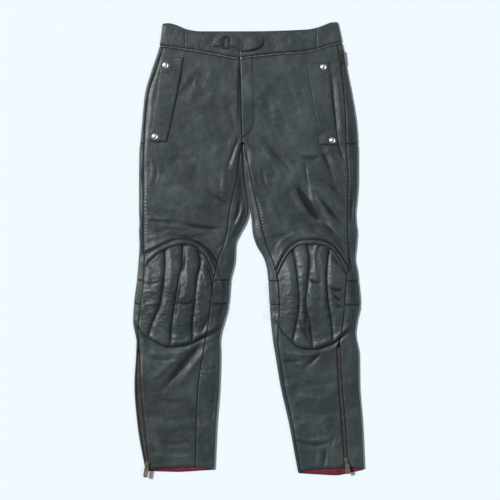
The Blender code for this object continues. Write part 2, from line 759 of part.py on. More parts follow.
def add_ring(name, finish, outer, hole, low: float, high: float, centre: Vector, tilt=0.0):
    """A flat plate with one hole; the two outlines have as many places."""
    bm = bmesh.new()
    turn = math.cos(tilt), math.sin(tilt)

    def corner(p, z):
        x, y = p[0] * turn[0] - p[1] * turn[1], p[0] * turn[1] + p[1] * turn[0]
        return bm.verts.new((Vector((x, y, z)) + centre) * MM)

    loops = [[corner(p, z) for p in line] for z in (high, low) for line in (outer, hole)]
    count = len(outer)
    for k in range(count):
        n = (k + 1) % count
        bm.faces.new((loops[0][k], loops[0][n], loops[1][n], loops[1][k]))
        bm.faces.new((loops[2][k], loops[2][n], loops[3][n], loops[3][k]))
        bm.faces.new((loops[0][k], loops[0][n], loops[2][n], loops[2][k]))
        bm.faces.new((loops[1][k], loops[1][n], loops[3][n], loops[3][k]))
    return add_body(name, finish, bm)


def add_dome(name, finish, x, y, foot, radius, rise):
    """A round snap cap: a short rim under a shallow dome."""
    sides = 16
    rings = ((1.0, 0.0), (1.0, 0.42), (0.86, 0.66), (0.62, 0.70), (0.40, 1.0))
    bm = bmesh.new()
    loops = []
    for share, lift in rings:
        loops.append([
            bm.verts.new(Vector((x + radius * share * math.cos(math.tau * k / sides),
                                 y + radius * share * math.sin(math.tau * k / sides),
                                 foot + rise * lift)) * MM)
            for k in range(sides)
        ])
    for low, high in zip(loops, loops[1:]):
        for k in range(sides):
            n = (k + 1) % sides
            bm.faces.new((low[k], low[n], high[n], high[k]))
    bm.faces.new(loops[0])
    bm.faces.new(loops[-1])
    return add_body(name, finish, bm)


def add_block(bm, lo, hi):
    """A box between two corners."""
    made = bmesh.ops.create_cube(bm, size=1.0)["verts"]
    for vert in made:
        for axis in range(3):
            vert.co[axis] = lerp(lo[axis], hi[axis], vert.co[axis] + 0.5) * MM


def build_fronts(leg: Leg) -> None:
    tag = leg.tag
    half = 0.5 * SEAM
    top = shifted(waist_seam, -HALF_ZIP)
    at_fly = leg.inner_seam(CROTCH_Y)
    places = shares(22, top(at_fly), leg.rim_top(at_fly) + half,
                    (CROTCH_Y + CROTCH_STEP, CROTCH_Y))
    plan = plan_columns(leg, 0, 16, top, aside(leg.rim_top, half), 22, places)
    add_patch(f"front_thigh_{tag}", LEATHER, plan, leg.height)
    plan = plan_columns(leg, 0, 16, aside(leg.rim_top, -half), aside(leg.rim_foot, half), 2)
    add_patch(f"knee_rim_{tag}", LEATHER, plan, leg.height)
    for number in range(4):
        plan = plan_columns(leg, 4 * number, 4 * number + 4, aside(leg.rim_foot, -half),
                            aside(leg.knee_foot, half), 10)
        add_patch(f"knee_gore_{tag}{number + 1}", LEATHER, plan, leg.height)
    at_zip = leg.zip_inner(leg.zip_top)
    places = shares(12, leg.knee_foot(at_zip) - half, leg.hem_front(at_zip),
                    (leg.zip_top, leg.zip_top + ZIP_SPREAD))
    plan = plan_columns(leg, 0, 16, aside(leg.knee_foot, -half), leg.hem_front, 12, places)
    add_patch(f"shin_front_{tag}", LEATHER, plan, leg.height)


def build_backs(leg: Leg) -> None:
    side, tag = leg.side, leg.tag
    half = 0.5 * SEAM

    def seat(y: float):
        return tube_section(leg, y, leg.seam(y) + side * SIDE_HALF, back_centre(y) + side * half, False)

    add_wrap(f"back_seat_{tag}", LEATHER, seat,
             between(shifted(waist_seam, -HALF_ZIP), shifted(waist_back_seam, -half)),
             between(level(CROTCH_Y + half), level(CROTCH_Y + half)), 10)

    def thigh(y: float):
        return tube_section(leg, y, leg.seam(y) + side * SIDE_HALF, leg.inner_edge(y), True)

    def calf(y: float):
        share = clamp((y - leg.zip_top) / ZIP_SPREAD, 0.0, 1.0)
        seam = lerp(leg.zip_outer(y), leg.seam(y), share) + side * SIDE_HALF
        return tube_section(leg, y, seam, leg.inner_edge(y), True)

    knee_top, knee_foot = KNEE_PANEL[tag]
    add_wrap(f"back_thigh_{tag}", LEATHER, thigh, between(level(CROTCH_Y - half), level(CROTCH_Y - half)),
             between(level(knee_top + half), level(knee_top + half)), 17)
    add_wrap(f"back_knee_{tag}", LEATHER, thigh, between(level(knee_top - half), level(knee_top - half)),
             between(level(knee_foot + half), level(knee_foot + half)), 3)
    add_wrap(f"back_calf_{tag}", LEATHER, calf, between(level(knee_foot - half), level(knee_foot - half)),
             between(leg.hem_front, leg.hem_back), 11,
             shares(11, knee_foot - half, leg.hem_front(leg.zip_outer(leg.zip_top)),
                    (leg.zip_top, leg.zip_top + ZIP_SPREAD)))


KNEE_PANEL = {"r": (-70.3, -125.7), "l": (-71.7, -128.1)}


def band_height(leg: Leg) -> Callable:
    return leg.height


def build_waist(leg: Leg) -> None:
    side, tag = leg.side, leg.tag
    half = 0.5 * SEAM
    split = BAND_SPLIT_LEFT if side > 0 else BAND_SPLIT_RIGHT
    ends = sorted((split - side * half, leg.inner_seam(480.0) + side * half))
    plan = plan_grid(level(ends[0]), level(ends[1]), band_front_top, shifted(waist_seam, HALF_ZIP), 9, 2)
    add_patch(f"waistband_front_{tag}", LEATHER, plan, leg.height)

    def section(y: float):
        return tube_section(leg, y, split + side * half, back_centre(y) + side * half, False, (4, 4, 6, 2))

    add_wrap(f"waistband_back_{tag}", LEATHER, section, between(band_front_top, band_back_top),
             between(shifted(waist_seam, HALF_ZIP), shifted(waist_back_seam, half)), 3)
    zip_half = HALF_ZIP - 0.5 * SEAM - 0.15
    near = leg.outer(470.0) - side * (EDGE_RADIUS + 3.0)
    gap = 5.0 if side > 0 else 1.2
    far = leg.inner_seam(460.0) + side * gap
    ends = sorted((near, far))
    plan = plan_grid(level(ends[0]), level(ends[1]), shifted(waist_seam, zip_half),
                     shifted(waist_seam, -zip_half), 14, 1)
    add_patch(f"waist_zip_{tag}", TEETH, plan, leg.height)


def build_flap(leg, outer, inner, top, foot, snaps) -> None:
    pair = (Curve(inner), Curve(outer)) if leg.side > 0 else (Curve(outer), Curve(inner))
    plan = plan_grid(*pair, Curve(top), Curve(foot), 4, 9)
    add_patch(f"pocket_flap_{leg.tag}", LEATHER, plan, ground_under(leg.height, 5.0), WALL, LAY_GAP)
    for number, (x, y) in enumerate(snaps, start=1):
        foot_z = ground_under(leg.height, 12.0)(x, y) + WALL + 2 * LAY_GAP
        add_dome(f"snap_{leg.tag}{number}", SILVER, x, y, foot_z, SNAP_RADIUS, SNAP_RISE)


def rounded(width: float, length: float, cut: float):
    """An eight-cornered outline round the middle."""
    w, l = 0.5 * width, 0.5 * length
    return [(-w + cut, -l), (w - cut, -l), (w, -l + cut), (w, l - cut),
            (w - cut, l), (-w + cut, l), (-w, l - cut), (-w, -l + cut)]


def build_strap() -> None:
    """The strap over the fly, its buckle and the loop that holds it."""

    def ground(x: float, y: float) -> float:
        return max(leg.height(x + dx, y) for leg in (RIGHT, LEFT) for dx in (-3.0, 0.0, 3.0)
                   if (x + dx - leg.inner_seam(y)) * leg.side > -2.5)

    plan = plan_grid(level(TAB_LEFT), level(TAB_RIGHT), Curve(TAB_TOP), Curve(TAB_FOOT), 12, 3)
    add_patch("waist_strap", LEATHER, plan, ground, WALL, LAY_GAP + 0.2)
    mid = Vector((sum(BUCKLE_X) / 2, sum(BUCKLE_Y) / 2, 0.0))
    width, length = BUCKLE_X[1] - BUCKLE_X[0], BUCKLE_Y[1] - BUCKLE_Y[0]
    foot = max(ground(mid.x + dx, mid.y + dy) for dx in (-9, 0, 9) for dy in (-13, 0, 13)) + LAY_GAP
    add_ring("strap_buckle", BUCKLE, rounded(width, length, 2.0),
             rounded(width - 2 * BUCKLE_BAR, length - 2 * BUCKLE_BAR, 1.0), foot, foot + BUCKLE_THICK, mid)
    plan = plan_grid(level(HOLDER_X[0]), level(HOLDER_X[1] - 1.0), level(HOLDER_Y[1]), level(HOLDER_Y[0]), 3, 3)
    add_patch("buckle_loop", LEATHER, plan, ground, WALL, LAY_GAP)


def build_stop() -> None:
    """The small metal end stop of the left waist zip."""
    x = LEFT.inner_seam(460.0) + 2.6
    y = waist_seam(x)
    z = LEFT.height(x, y)
    bm = bmesh.new()
    add_block(bm, (x - 1.9, y - 1.9, z - WALL), (x + 1.9, y + 1.9, z + 0.9))
    add_body("zip_stop", SILVER, bm)


def build_elastic() -> None:
    """A ribbed strip sewn on at the side below the band."""
    rows = 2 * ELASTIC_RIBS

    def left(y: float) -> float:
        return ELASTIC_X[0] + 0.12 * (478.0 - y)

    def right(y: float) -> float:
        return ELASTIC_X[1] + 0.12 * (478.0 - y)

    plan = plan_grid(left, right, level(ELASTIC_Y[1]), level(ELASTIC_Y[0]), 2, rows)
    outer = [[(x, y, LEFT.height(x, y) + LAY_GAP + 0.3 + (1.9 if r % 2 else 1.2)) for x, y in row]
             for r, row in enumerate(plan)]
    inner = [[(x, y, LEFT.height(x, y) + LAY_GAP + 0.3) for x, y in row] for row in plan]
    add_shell("side_elastic", ELASTIC, outer, inner)


def build_lining(leg: Leg) -> None:
    """Lining turned in at the hem, lying on the inside of the back panel."""
    side = leg.side
    reach = EDGE_RADIUS + LINING_SIDE

    def outer(y: float) -> float:
        return leg.outer(y) - side * reach

    def inner(y: float) -> float:
        return leg.inner_edge(y) + side * reach

    pair = (inner, outer) if side > 0 else (outer, inner)
    plan = plan_grid(*pair, shifted(leg.hem_back, LINING_DEPTH), shifted(leg.hem_back, 1.4), 7, 3)
    foot = [[(x, y, WALL + LAY_GAP) for x, y in row] for row in plan]
    top = [[(x, y, WALL + LAY_GAP + THIN_WALL) for x, y in row] for row in plan]
    add_shell(f"hem_lining_{leg.tag}", LINING, top, foot)


def build_ankle_zip(leg: Leg, slider_y: float) -> None:
    side, tag = leg.side, leg.tag
    half = 0.5 * SEAM + 0.4
    lo = shifted(leg.zip_outer, -side * half)
    hi = shifted(leg.zip_inner, side * half)
    pair = (hi, lo) if side > 0 else (lo, hi)
    plan = plan_grid(*pair, level(leg.zip_top - 1.2), shifted(leg.hem_front, 1.0), 2, 14)
    add_patch(f"ankle_zip_{tag}", TAPE, plan, leg.height)
    x = 0.5 * (leg.zip_outer(slider_y) + leg.zip_inner(slider_y))
    lean = SLIDER_LEAN[tag]
    foot = max(leg.height(x + dx, slider_y + dy) for dx in (-5, 0, 5) for dy in (-8, 0, 8)) + LAY_GAP
    build_slider(tag, Vector((x, slider_y, foot)), lean)


def build_slider(tag: str, at: Vector, lean: float) -> None:
    """Slider body with its bail, and the pull whose eye bar runs through it."""
    w, l = 0.5 * SLIDER_WIDTH, 0.5 * SLIDER_LENGTH
    b, h = 0.5 * BAIL_WIDTH, 0.5 * BAIL_LENGTH
    top, rise = SLIDER_THICK, SLIDER_THICK + BAIL_RISE
    base = ((-w, -l, 0.0), (w, l, top))
    posts = (((-b, -h, top - 0.5), (b, -h + BAIL_BAR, rise)),
             ((-b, h - BAIL_BAR, top - 0.5), (b, h, rise)),
             ((-b, -h, rise - BAIL_BAR), (b, h, rise)))
    body = None
    for number, (lo, hi) in enumerate((base,) + posts):
        bm = bmesh.new()
        add_block(bm, lo, hi)
        piece = add_body(f"ankle_slider_{tag}" if body is None else "joined", BRASS, bm)
        if body is None:
            body = piece
            continue
        join = body.modifiers.new("join", "BOOLEAN")
        join.operation = "UNION"
        join.solver = "EXACT"
        join.object = piece
        graph = bpy.context.evaluated_depsgraph_get()
        merged = bpy.data.meshes.new_from_object(body.evaluated_get(graph))
        body.modifiers.clear()
        body.data = merged
        bpy.data.objects.remove(piece)
    turn = math.cos(lean), math.sin(lean)
    for vert in body.data.vertices:
        x, y = vert.co.x, vert.co.y
        vert.co.x = x * turn[0] - y * turn[1] + at.x * MM
        vert.co.y = x * turn[1] + y * turn[0] + at.y * MM
        vert.co.z += at.z * MM
    eye = 0.5 * PULL_EYE
    bar = 0.5 * PULL_THICK
    wide = 0.5 * PULL_WIDTH
    outline = [(-eye, bar), (eye, bar), (eye, -4.0), (wide, -9.0), (wide, -PULL_LENGTH + 2.5),
               (wide - 2.0, -PULL_LENGTH), (-wide + 2.0, -PULL_LENGTH), (-wide, -PULL_LENGTH + 2.5),
               (-wide, -9.0), (-eye, -4.0)]
    inner = eye - 1.3
    hole = [(-inner, -bar), (inner, -bar), (inner, -3.0), (inner, -5.0), (inner, -6.4),
            (inner - 0.6, -7.2), (-inner + 0.6, -7.2), (-inner, -6.4), (-inner, -5.0), (-inner, -3.0)]
    pivot = at.z + SLIDER_THICK + PIVOT_RISE
    add_ring(f"ankle_pull_{tag}", BRASS, outline, hole, pivot - bar, pivot + bar,
             Vector((at.x, at.y, 0.0)), lean)


def centre_all() -> None:
    """Move everything so that the whole stands over the middle of the frame."""
    pieces = [piece for piece in bpy.data.objects if piece.type == "MESH"]
    for axis in (0, 1):
        places = [vert.co[axis] for piece in pieces for vert in piece.data.vertices]
        middle = 0.5 * (min(places) + max(places))
        for piece in pieces:
            for vert in piece.data.vertices:
                vert.co[axis] -= middle


def main() -> None:
    for piece in list(bpy.data.objects):
        bpy.data.objects.remove(piece)
    for leg in (RIGHT, LEFT):
        build_fronts(leg)
        build_backs(leg)
        build_waist(leg)
        build_lining(leg)
    build_flap(RIGHT, RIGHT_FLAP_OUTER, RIGHT_FLAP_INNER, RIGHT_FLAP_TOP, RIGHT_FLAP_FOOT, RIGHT_SNAPS)
    build_flap(LEFT, LEFT_FLAP_OUTER, LEFT_FLAP_INNER, LEFT_FLAP_TOP, LEFT_FLAP_FOOT, LEFT_SNAPS)
    build_strap()
    build_stop()
    build_elastic()
    build_ankle_zip(RIGHT, RIGHT_SLIDER_Y)
    build_ankle_zip(LEFT, LEFT_SLIDER_Y)
    centre_all()


main()
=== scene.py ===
"""Looks of matt leather motorcycle trousers laid flat, front up.

Every visible panel is a thin leather wall on its solid's form, with its creases,
seams and stitches; the fittings are metal, elastic and woven tape. Tables are in
millimetres from the pattern's own origin, the waist towards +Y.
"""
import logging
import math
from dataclasses import dataclass
from enum import Enum
from typing import Callable, NamedTuple, Sequence

import bmesh
import bpy
import numpy as np
from mathutils import Matrix, Vector


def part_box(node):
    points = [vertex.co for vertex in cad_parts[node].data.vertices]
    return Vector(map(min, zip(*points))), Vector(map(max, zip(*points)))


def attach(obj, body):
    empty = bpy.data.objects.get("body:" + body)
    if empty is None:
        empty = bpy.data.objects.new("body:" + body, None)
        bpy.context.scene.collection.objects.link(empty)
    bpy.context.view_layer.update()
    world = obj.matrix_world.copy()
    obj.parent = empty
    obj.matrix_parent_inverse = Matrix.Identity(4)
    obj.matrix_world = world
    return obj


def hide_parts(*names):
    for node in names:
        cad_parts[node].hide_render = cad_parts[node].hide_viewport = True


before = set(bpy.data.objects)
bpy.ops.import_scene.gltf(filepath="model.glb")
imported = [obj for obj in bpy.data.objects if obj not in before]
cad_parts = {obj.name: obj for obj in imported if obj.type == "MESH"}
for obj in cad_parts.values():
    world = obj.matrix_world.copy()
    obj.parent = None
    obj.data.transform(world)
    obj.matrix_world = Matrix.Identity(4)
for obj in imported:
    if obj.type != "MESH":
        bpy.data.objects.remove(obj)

log = logging.getLogger("trousers")

MM = 0.001
WALL = 1.8
THIN_WALL = 1.1
SEAM = 0.16
SIDE_HALF = 0.12
EDGE_RADIUS = 3.7
EDGE_BLEND = 16.0
CROTCH_Y = 250.0
CROTCH_STEP = 3.0
HALF_ZIP = 2.3
ZIP_SPREAD = 14.0
BODY = "trousers"
FOLD_GAIN = 1.5
PUCKER_GAIN = 1.5

Array = np.ndarray
Line1D = Callable[[Array], Array]


class Station(NamedTuple):
    """One level of a leg: where its edges and its two front seams lie."""

    y: float
    outer: float
    seam: float
    inner_seam: float
    inner_edge: float


class Gore(NamedTuple):
    """One level of the knee: where its three inner seams lie."""

    y: float
    first: float
    second: float
    third: float


class Arc(NamedTuple):
    """One place across the knee: rim top, rim foot and the knee's foot."""

    x: float
    rim_top: float
    rim_foot: float
    foot: float


class Zip(NamedTuple):
    """One level of an ankle zip: its two edges."""

    y: float
    outer: float
    inner: float


class Fold(NamedTuple):
    """A crease or ridge through three places; lift is up, or down if negative."""

    x0: float
    y0: float
    x1: float
    y1: float
    x2: float
    y2: float
    width: float
    lift: float


class Pucker(NamedTuple):
    """A seam that gathers the leather beside it into short ripples."""

    x0: float
    y0: float
    x1: float
    y1: float
    reach: float
    pitch: float
    lift: float


class Patch(NamedTuple):
    """A soft patch of painted shade (amount below nought) or painted light (above), some of it the leather's
    uneven tone: middle, half sizes, turn in degrees.
    """

    x: float
    y: float
    long: float
    wide: float
    turn: float
    amount: float


class Level(NamedTuple):
    """A value at a place along one axis."""

    at: float
    value: float


RIGHT_STATIONS = (
    Station(539, -201, -192, -20, -20), Station(481, -209, -200, -20, -20),
    Station(424, -227, -217, -19, -19), Station(368, -243, -235, -17, -17),
    Station(297, -250, -243, -16, -16), Station(255, -254, -245, -14, -14),
    Station(236, -256, -246, -18, -14), Station(170, -257, -247, -26, -10),
    Station(119, -257, -247, -38, -3), Station(90, -257, -247, -44, -0), Station(67, -256, -247, -47, -6),
    Station(43, -257, -247, -50, -19), Station(15, -256, -247, -57, -31),
    Station(-22, -258, -245, -70, -33), Station(-69, -262, -246, -81, -43),
    Station(-126, -269, -253, -88, -48), Station(-168, -271, -258, -93, -58),
    Station(-192, -267, -259, -97, -65), Station(-215, -263, -258, -101, -68),
    Station(-243, -264, -258, -106, -67), Station(-316, -268, -258, -117, -69),
    Station(-410, -261, -250, -122, -76), Station(-518, -242, -232, -124, -81),
)
RIGHT_GORES = (
    Gore(25, -196, -154, -128), Gore(-27, -196, -154, -112), Gore(-67, -198, -163, -120),
    Gore(-123, -206, -171, -126), Gore(-175, -227, -180, -131), Gore(-234, -243, -184, -132),
)
RIGHT_ARCS = (
    Arc(-267, -27, -76, -166), Arc(-246, -8, -43, -198), Arc(-227, 1, -22, -210), Arc(-208, 11, -5, -220),
    Arc(-189, 20, 5, -226), Arc(-170, 27, 11, -225), Arc(-152, 29, 14, -223), Arc(-133, 26, 12, -217),
    Arc(-114, 18, -1, -207), Arc(-95, 3, -25, -198), Arc(-79, -18, -69, -191), Arc(-65, -41, -107, -186),
)
RIGHT_ZIP = (
    Zip(-239, -262, -256), Zip(-316, -263, -253), Zip(-410, -257, -243), Zip(-518, -238, -233),
)
RIGHT_FOLDS = (
    Fold(-236, 76, -201, 75, -161, 72, 4.5, 1.3), Fold(-152, 62, -107, 54, -60, 52, 4, -1.4),
    Fold(-81, 126, -63, 119, -46, 109, 3, -1.0), Fold(-59, 189, -58, 156, -59, 126, 6, 1.0),
    Fold(-231, 46, -161, 34, -90, 36, 6, -0.9), Fold(-231, 60, -173, 55, -133, 51, 6, 0.8),
    Fold(-24, 262, -35, 235, -48, 194, 3.5, -1.5), Fold(-20, 246, -29, 224, -39, 189, 5, 0.9),
    Fold(-107, -210, -149, -262, -203, -328, 7, -1.9), Fold(-86, -220, -123, -262, -170, -323, 7, 1.3),
    Fold(-137, -222, -180, -262, -227, -304, 7, 0.9), Fold(-102, -281, -88, -278, -72, -276, 3, -0.9),
    Fold(-22, 116, -25, 90, -34, 65, 4, -1.6), Fold(-14, 126, -13, 98, -29, 60, 4, 1.3),
    Fold(-231, 213, -224, 194, -229, 161, 4, 0.7), Fold(-222, 206, -215, 184, -220, 156, 3.5, -0.7),
    Fold(-121, 415, -137, 391, -161, 363, 7, -0.6), Fold(-114, 434, -86, 405, -62, 363, 9, 0.6),
    Fold(-53, 354, -39, 311, -29, 269, 7, -0.7), Fold(-170, 142, -137, 128, -105, 105, 9, 0.7),
    Fold(-208, 128, -170, 109, -123, 90, 9, -0.5), Fold(-152, 236, -123, 217, -90, 175, 10, 0.5),
    Fold(-213, -347, -180, -356, -137, -361, 6, -0.6), Fold(-227, -398, -189, -408, -142, -408, 7, 0.6),
    Fold(-217, -445, -180, -455, -137, -450, 6, -0.7), Fold(-213, -481, -173, -485, -130, -481, 5, 0.6),
    Fold(-100, -351, -88, -356, -76, -354, 3, -0.6), Fold(-105, -398, -90, -403, -79, -401, 3, 0.6),
    Fold(-107, -445, -93, -448, -81, -445, 3, -0.6), Fold(-231, -239, -196, -243, -156, -239, 4, 0.9),
    Fold(-236, -253, -199, -257, -166, -253, 3.5, -1.0), Fold(-145, 358, -114, 325, -100, 283, 10, 0.5),
    Fold(-208, 105, -180, 98, -147, 95, 6, 0.5), Fold(-53, 34, -62, 15, -76, 1, 4, -0.8),
    Fold(-241, 25, -213, 34, -180, 43, 5, 0.8), Fold(-126, 43, -95, 34, -72, 15, 5, 0.7),
    Fold(-150, 2, -150, -27, -157, -58, 2.4, -1.3), Fold(-157, -58, -164, -109, -172, -161, 2.4, -1.3),
    Fold(-166, -121, -149, -125, -130, -123, 2.6, -1.3), Fold(-248, -27, -234, -51, -241, -93, 6, 1.3),
    Fold(-255, -116, -241, -145, -217, -187, 5, 1.2), Fold(-255, -74, -231, -79, -208, -74, 3.5, -0.9),
    Fold(-250, -102, -231, -95, -208, -100, 3.5, 0.8), Fold(-147, -27, -142, -60, -147, -107, 5, 1.2),
    Fold(-123, -116, -114, -145, -114, -182, 5, 0.9), Fold(-184, -4, -180, -41, -184, -93, 5, 0.9),
    Fold(-208, -187, -180, -203, -137, -201, 5, 0.9), Fold(-100, -27, -86, -69, -81, -116, 4, -1.2),
    Fold(-90, -140, -100, -173, -114, -196, 4, -1.0), Fold(-116, -27, -102, -60, -98, -116, 4, 0.9),
)
RIGHT_PUCKERS = (
    Pucker(-109, -271, -119, -361, 9.0, 5.4, 0.5),
    Pucker(-121, -361, -122, -497, 7.0, 7.0, 0.3),
    Pucker(-246, 170, -246, 25, 7.0, 8.0, 0.3),
    Pucker(-19, 434, -17, 269, 6.0, 9.0, 0.25),
    Pucker(-38, 119, -57, 15, 8.0, 7.5, 0.45),
)

# Painted shade and light in soft patches: the fly's overlap shadow, shade in the crotch and beside folds, and
# lighter and darker zones of the leg; some are the leather's uneven tone.
RIGHT_TONE_AND_PAINTED_LIGHT = (
    Patch(-133, 154, 170.0, 72.0, 90.0, -0.20), Patch(-166, -98, 110.0, 70.0, 90.0, -0.26),
    Patch(-173, -375, 150.0, 70.0, 90.0, -0.22), Patch(-23, 363, 90.0, 4.0, 89.0, -0.90),
    Patch(-29, 469, 16.0, 9.0, 10.0, -0.70),
    Patch(-79, 107, 70.0, 34.0, 70.0, -0.28), Patch(-161, 67, 70.0, 20.0, 0.0, -0.18),
    Patch(-25, 142, 70.0, 12.0, 85.0, -0.45), Patch(-123, 330, 70.0, 50.0, 90.0, -0.10),
    Patch(-208, 189, 60.0, 28.0, 90.0, 0.10), Patch(-231, -81, 50.0, 22.0, 80.0, 0.22),
    Patch(-147, -269, 70.0, 16.0, 40.0, -0.25), Patch(-133, -46, 40.0, 20.0, 90.0, 0.18),
    Patch(-250, 307, 150.0, 9.0, 88.0, -0.35), Patch(-90, 354, 60.0, 22.0, 90.0, 0.06),
    Patch(-166, -398, 110.0, 40.0, 90.0, -0.12), Patch(-27, 401, 60.0, 9.0, 90.0, -0.35),
)

LEFT_STATIONS = (
    Station(539, 209, 200, -20, -20), Station(481, 221, 210, -20, -20), Station(424, 231, 220, -19, -19),
    Station(368, 242, 225, -17, -17), Station(297, 253, 229, -16, -16), Station(255, 256, 230, -14, -14),
    Station(236, 257, 231, -8, -13), Station(170, 257, 235, 6, -8), Station(119, 254, 234, 17, 0),
    Station(90, 251, 234, 24, 5), Station(67, 252, 234, 29, 8), Station(43, 255, 234, 35, 10),
    Station(15, 253, 235, 43, 18), Station(-22, 250, 237, 56, 38), Station(-46, 255, 234, 64, 44),
    Station(-74, 258, 230, 70, 47), Station(-126, 262, 226, 73, 50), Station(-168, 254, 223, 72, 53),
    Station(-196, 251, 219, 70, 56), Station(-220, 255, 214, 70, 59), Station(-243, 259, 213, 73, 63),
    Station(-316, 260, 217, 84, 75), Station(-410, 267, 228, 104, 96), Station(-518, 272, 235, 123, 116),
)
LEFT_GORES = (
    Gore(25, 98, 135, 194), Gore(-27, 110, 144, 186), Gore(-67, 115, 140, 184), Gore(-123, 119, 134, 188),
    Gore(-175, 112, 145, 196), Gore(-239, 98, 152, 199),
)
LEFT_ARCS = (
    Arc(51, -74, -116, -159), Arc(67, -41, -62, -170), Arc(83, -9, -28, -195), Arc(102, 13, 0, -215),
    Arc(121, 24, 12, -229), Arc(140, 27, 15, -232), Arc(159, 27, 14, -231), Arc(177, 24, 11, -226),
    Arc(196, 15, 2, -219), Arc(213, -4, -21, -207), Arc(229, -29, -55, -193), Arc(246, -53, -88, -182),
)
LEFT_ZIP = (
    Zip(-227, 216, 208), Zip(-316, 221, 212), Zip(-410, 229, 219), Zip(-518, 235, 227),
)
LEFT_FOLDS = (
    Fold(135, 201, 135, 180, 141, 159, 3.5, -1.3), Fold(117, 148, 140, 107, 168, 72, 6, -3.4),
    Fold(102, 142, 128, 95, 159, 58, 7, 1.5), Fold(145, 148, 154, 109, 169, 74, 4.5, 2.0),
    Fold(149, 150, 180, 90, 213, 25, 6, 2.2), Fold(159, 135, 187, 100, 219, 62, 4.5, -2.2),
    Fold(149, 154, 187, 130, 227, 88, 6, 2.2), Fold(168, 166, 199, 147, 229, 119, 5, -1.2),
    Fold(121, 222, 145, 214, 168, 219, 4, -1.2), Fold(126, 231, 147, 226, 173, 231, 4, 0.9),
    Fold(1, 250, 13, 239, 22, 229, 3.5, -1.3), Fold(36, 264, 69, 224, 102, 184, 5, -1.4),
    Fold(22, 255, 53, 213, 83, 170, 6, 1.0), Fold(51, 236, 65, 220, 81, 201, 3.5, -0.9),
    Fold(32, 189, 36, 168, 43, 147, 4, -1.2), Fold(166, 241, 184, 208, 201, 161, 5, -1.3),
    Fold(182, 241, 201, 208, 217, 170, 5, 1.0), Fold(98, 208, 107, 206, 116, 203, 3, -0.9),
    Fold(196, 415, 202, 330, 210, 253, 4, -1.5), Fold(210, 253, 217, 231, 224, 213, 3.5, -1.4),
    Fold(208, 401, 215, 330, 220, 260, 4, 0.9), Fold(-5, 210, 8, 180, 19, 130, 4.5, 1.8),
    Fold(168, -239, 152, -257, 130, -278, 6, -2.0), Fold(83, -260, 102, -261, 121, -260, 4, -1.5),
    Fold(79, -239, 116, -244, 163, -241, 5, 1.2), Fold(114, -450, 152, -457, 192, -451, 3.5, -1.3),
    Fold(114, -441, 152, -446, 192, -441, 4, 0.9), Fold(180, -464, 180, -488, 177, -511, 4, -1.6),
    Fold(166, -466, 166, -488, 163, -511, 5, 0.9), Fold(199, -436, 197, -448, 196, -459, 3, -0.9),
    Fold(105, -389, 116, -395, 128, -401, 3, -0.9), Fold(86, 62, 112, 34, 145, 11, 6, 0.7),
    Fold(121, 90, 145, 58, 173, 34, 6, -0.8), Fold(51, 119, 65, 81, 79, 43, 8, 0.8),
    Fold(69, 354, 88, 325, 98, 283, 9, 0.6), Fold(32, 377, 46, 344, 55, 297, 9, -0.4),
    Fold(102, 391, 116, 354, 126, 311, 8, 0.5), Fold(22, 128, 32, 95, 41, 58, 5, 0.9),
    Fold(55, 29, 74, 34, 98, 34, 4, -0.8), Fold(121, -300, 159, -314, 201, -304, 7, -0.8),
    Fold(112, -333, 149, -347, 196, -342, 8, 0.7), Fold(130, -375, 168, -384, 206, -380, 6, -0.6),
    Fold(182, 1, 208, -27, 227, -55, 4, -1.2), Fold(234, -4, 241, -27, 240, -51, 3, -1.2),
    Fold(241, 142, 244, 107, 241, 67, 3, -1.0), Fold(243, 34, 248, 1, 243, -27, 3, 1.0),
    Fold(248, 213, 246, 184, 248, 156, 3, 0.8), Fold(116, -163, 130, -189, 147, -222, 2.6, -1.4),
    Fold(158, -53, 156, 1, 173, 14, 3.2, 1.4), Fold(173, 14, 189, 8, 194, -27, 3.2, 1.2),
    Fold(142, -67, 156, -75, 168, -76, 3.2, -1.8), Fold(192, -88, 208, -93, 222, -93, 3.2, -1.6),
    Fold(201, -107, 210, -114, 217, -119, 3, -1.4), Fold(203, -126, 213, -132, 222, -133, 3, -1.2),
    Fold(140, -83, 147, -107, 163, -107, 5, 1.8), Fold(128, -126, 135, -159, 133, -201, 4, -1.1),
    Fold(173, -27, 177, -93, 173, -163, 6, 1.1), Fold(88, -27, 98, -69, 98, -140, 7, 1.1),
    Fold(81, -177, 112, -210, 149, -224, 5, 0.9), Fold(229, -79, 236, -116, 229, -177, 4, 1.0),
    Fold(121, -13, 128, -27, 135, -18, 4, 0.8), Fold(65, 1, 83, 25, 112, 39, 5, 1.0),
    Fold(83, -4, 102, 18, 130, 29, 4, -0.9), Fold(177, 58, 210, 25, 234, -27, 6, -1.3),
    Fold(163, 67, 201, 48, 231, 11, 5, 1.4), Fold(239, -398, 253, -408, 264, -408, 3.5, -0.8),
    Fold(239, -351, 250, -356, 260, -354, 3.5, 0.7), Fold(243, -450, 255, -457, 267, -455, 3.5, -0.7),
)
LEFT_PUCKERS = (
    Pucker(231, 236, 235, 11, 8.0, 8.5, 0.4),
    Pucker(17, 119, 47, 8, 8.0, 7.0, 0.45),
    Pucker(83, -314, 114, -481, 7.0, 7.5, 0.35),
    Pucker(237, 34, 237, -36, 6.0, 6.0, 0.6),
)
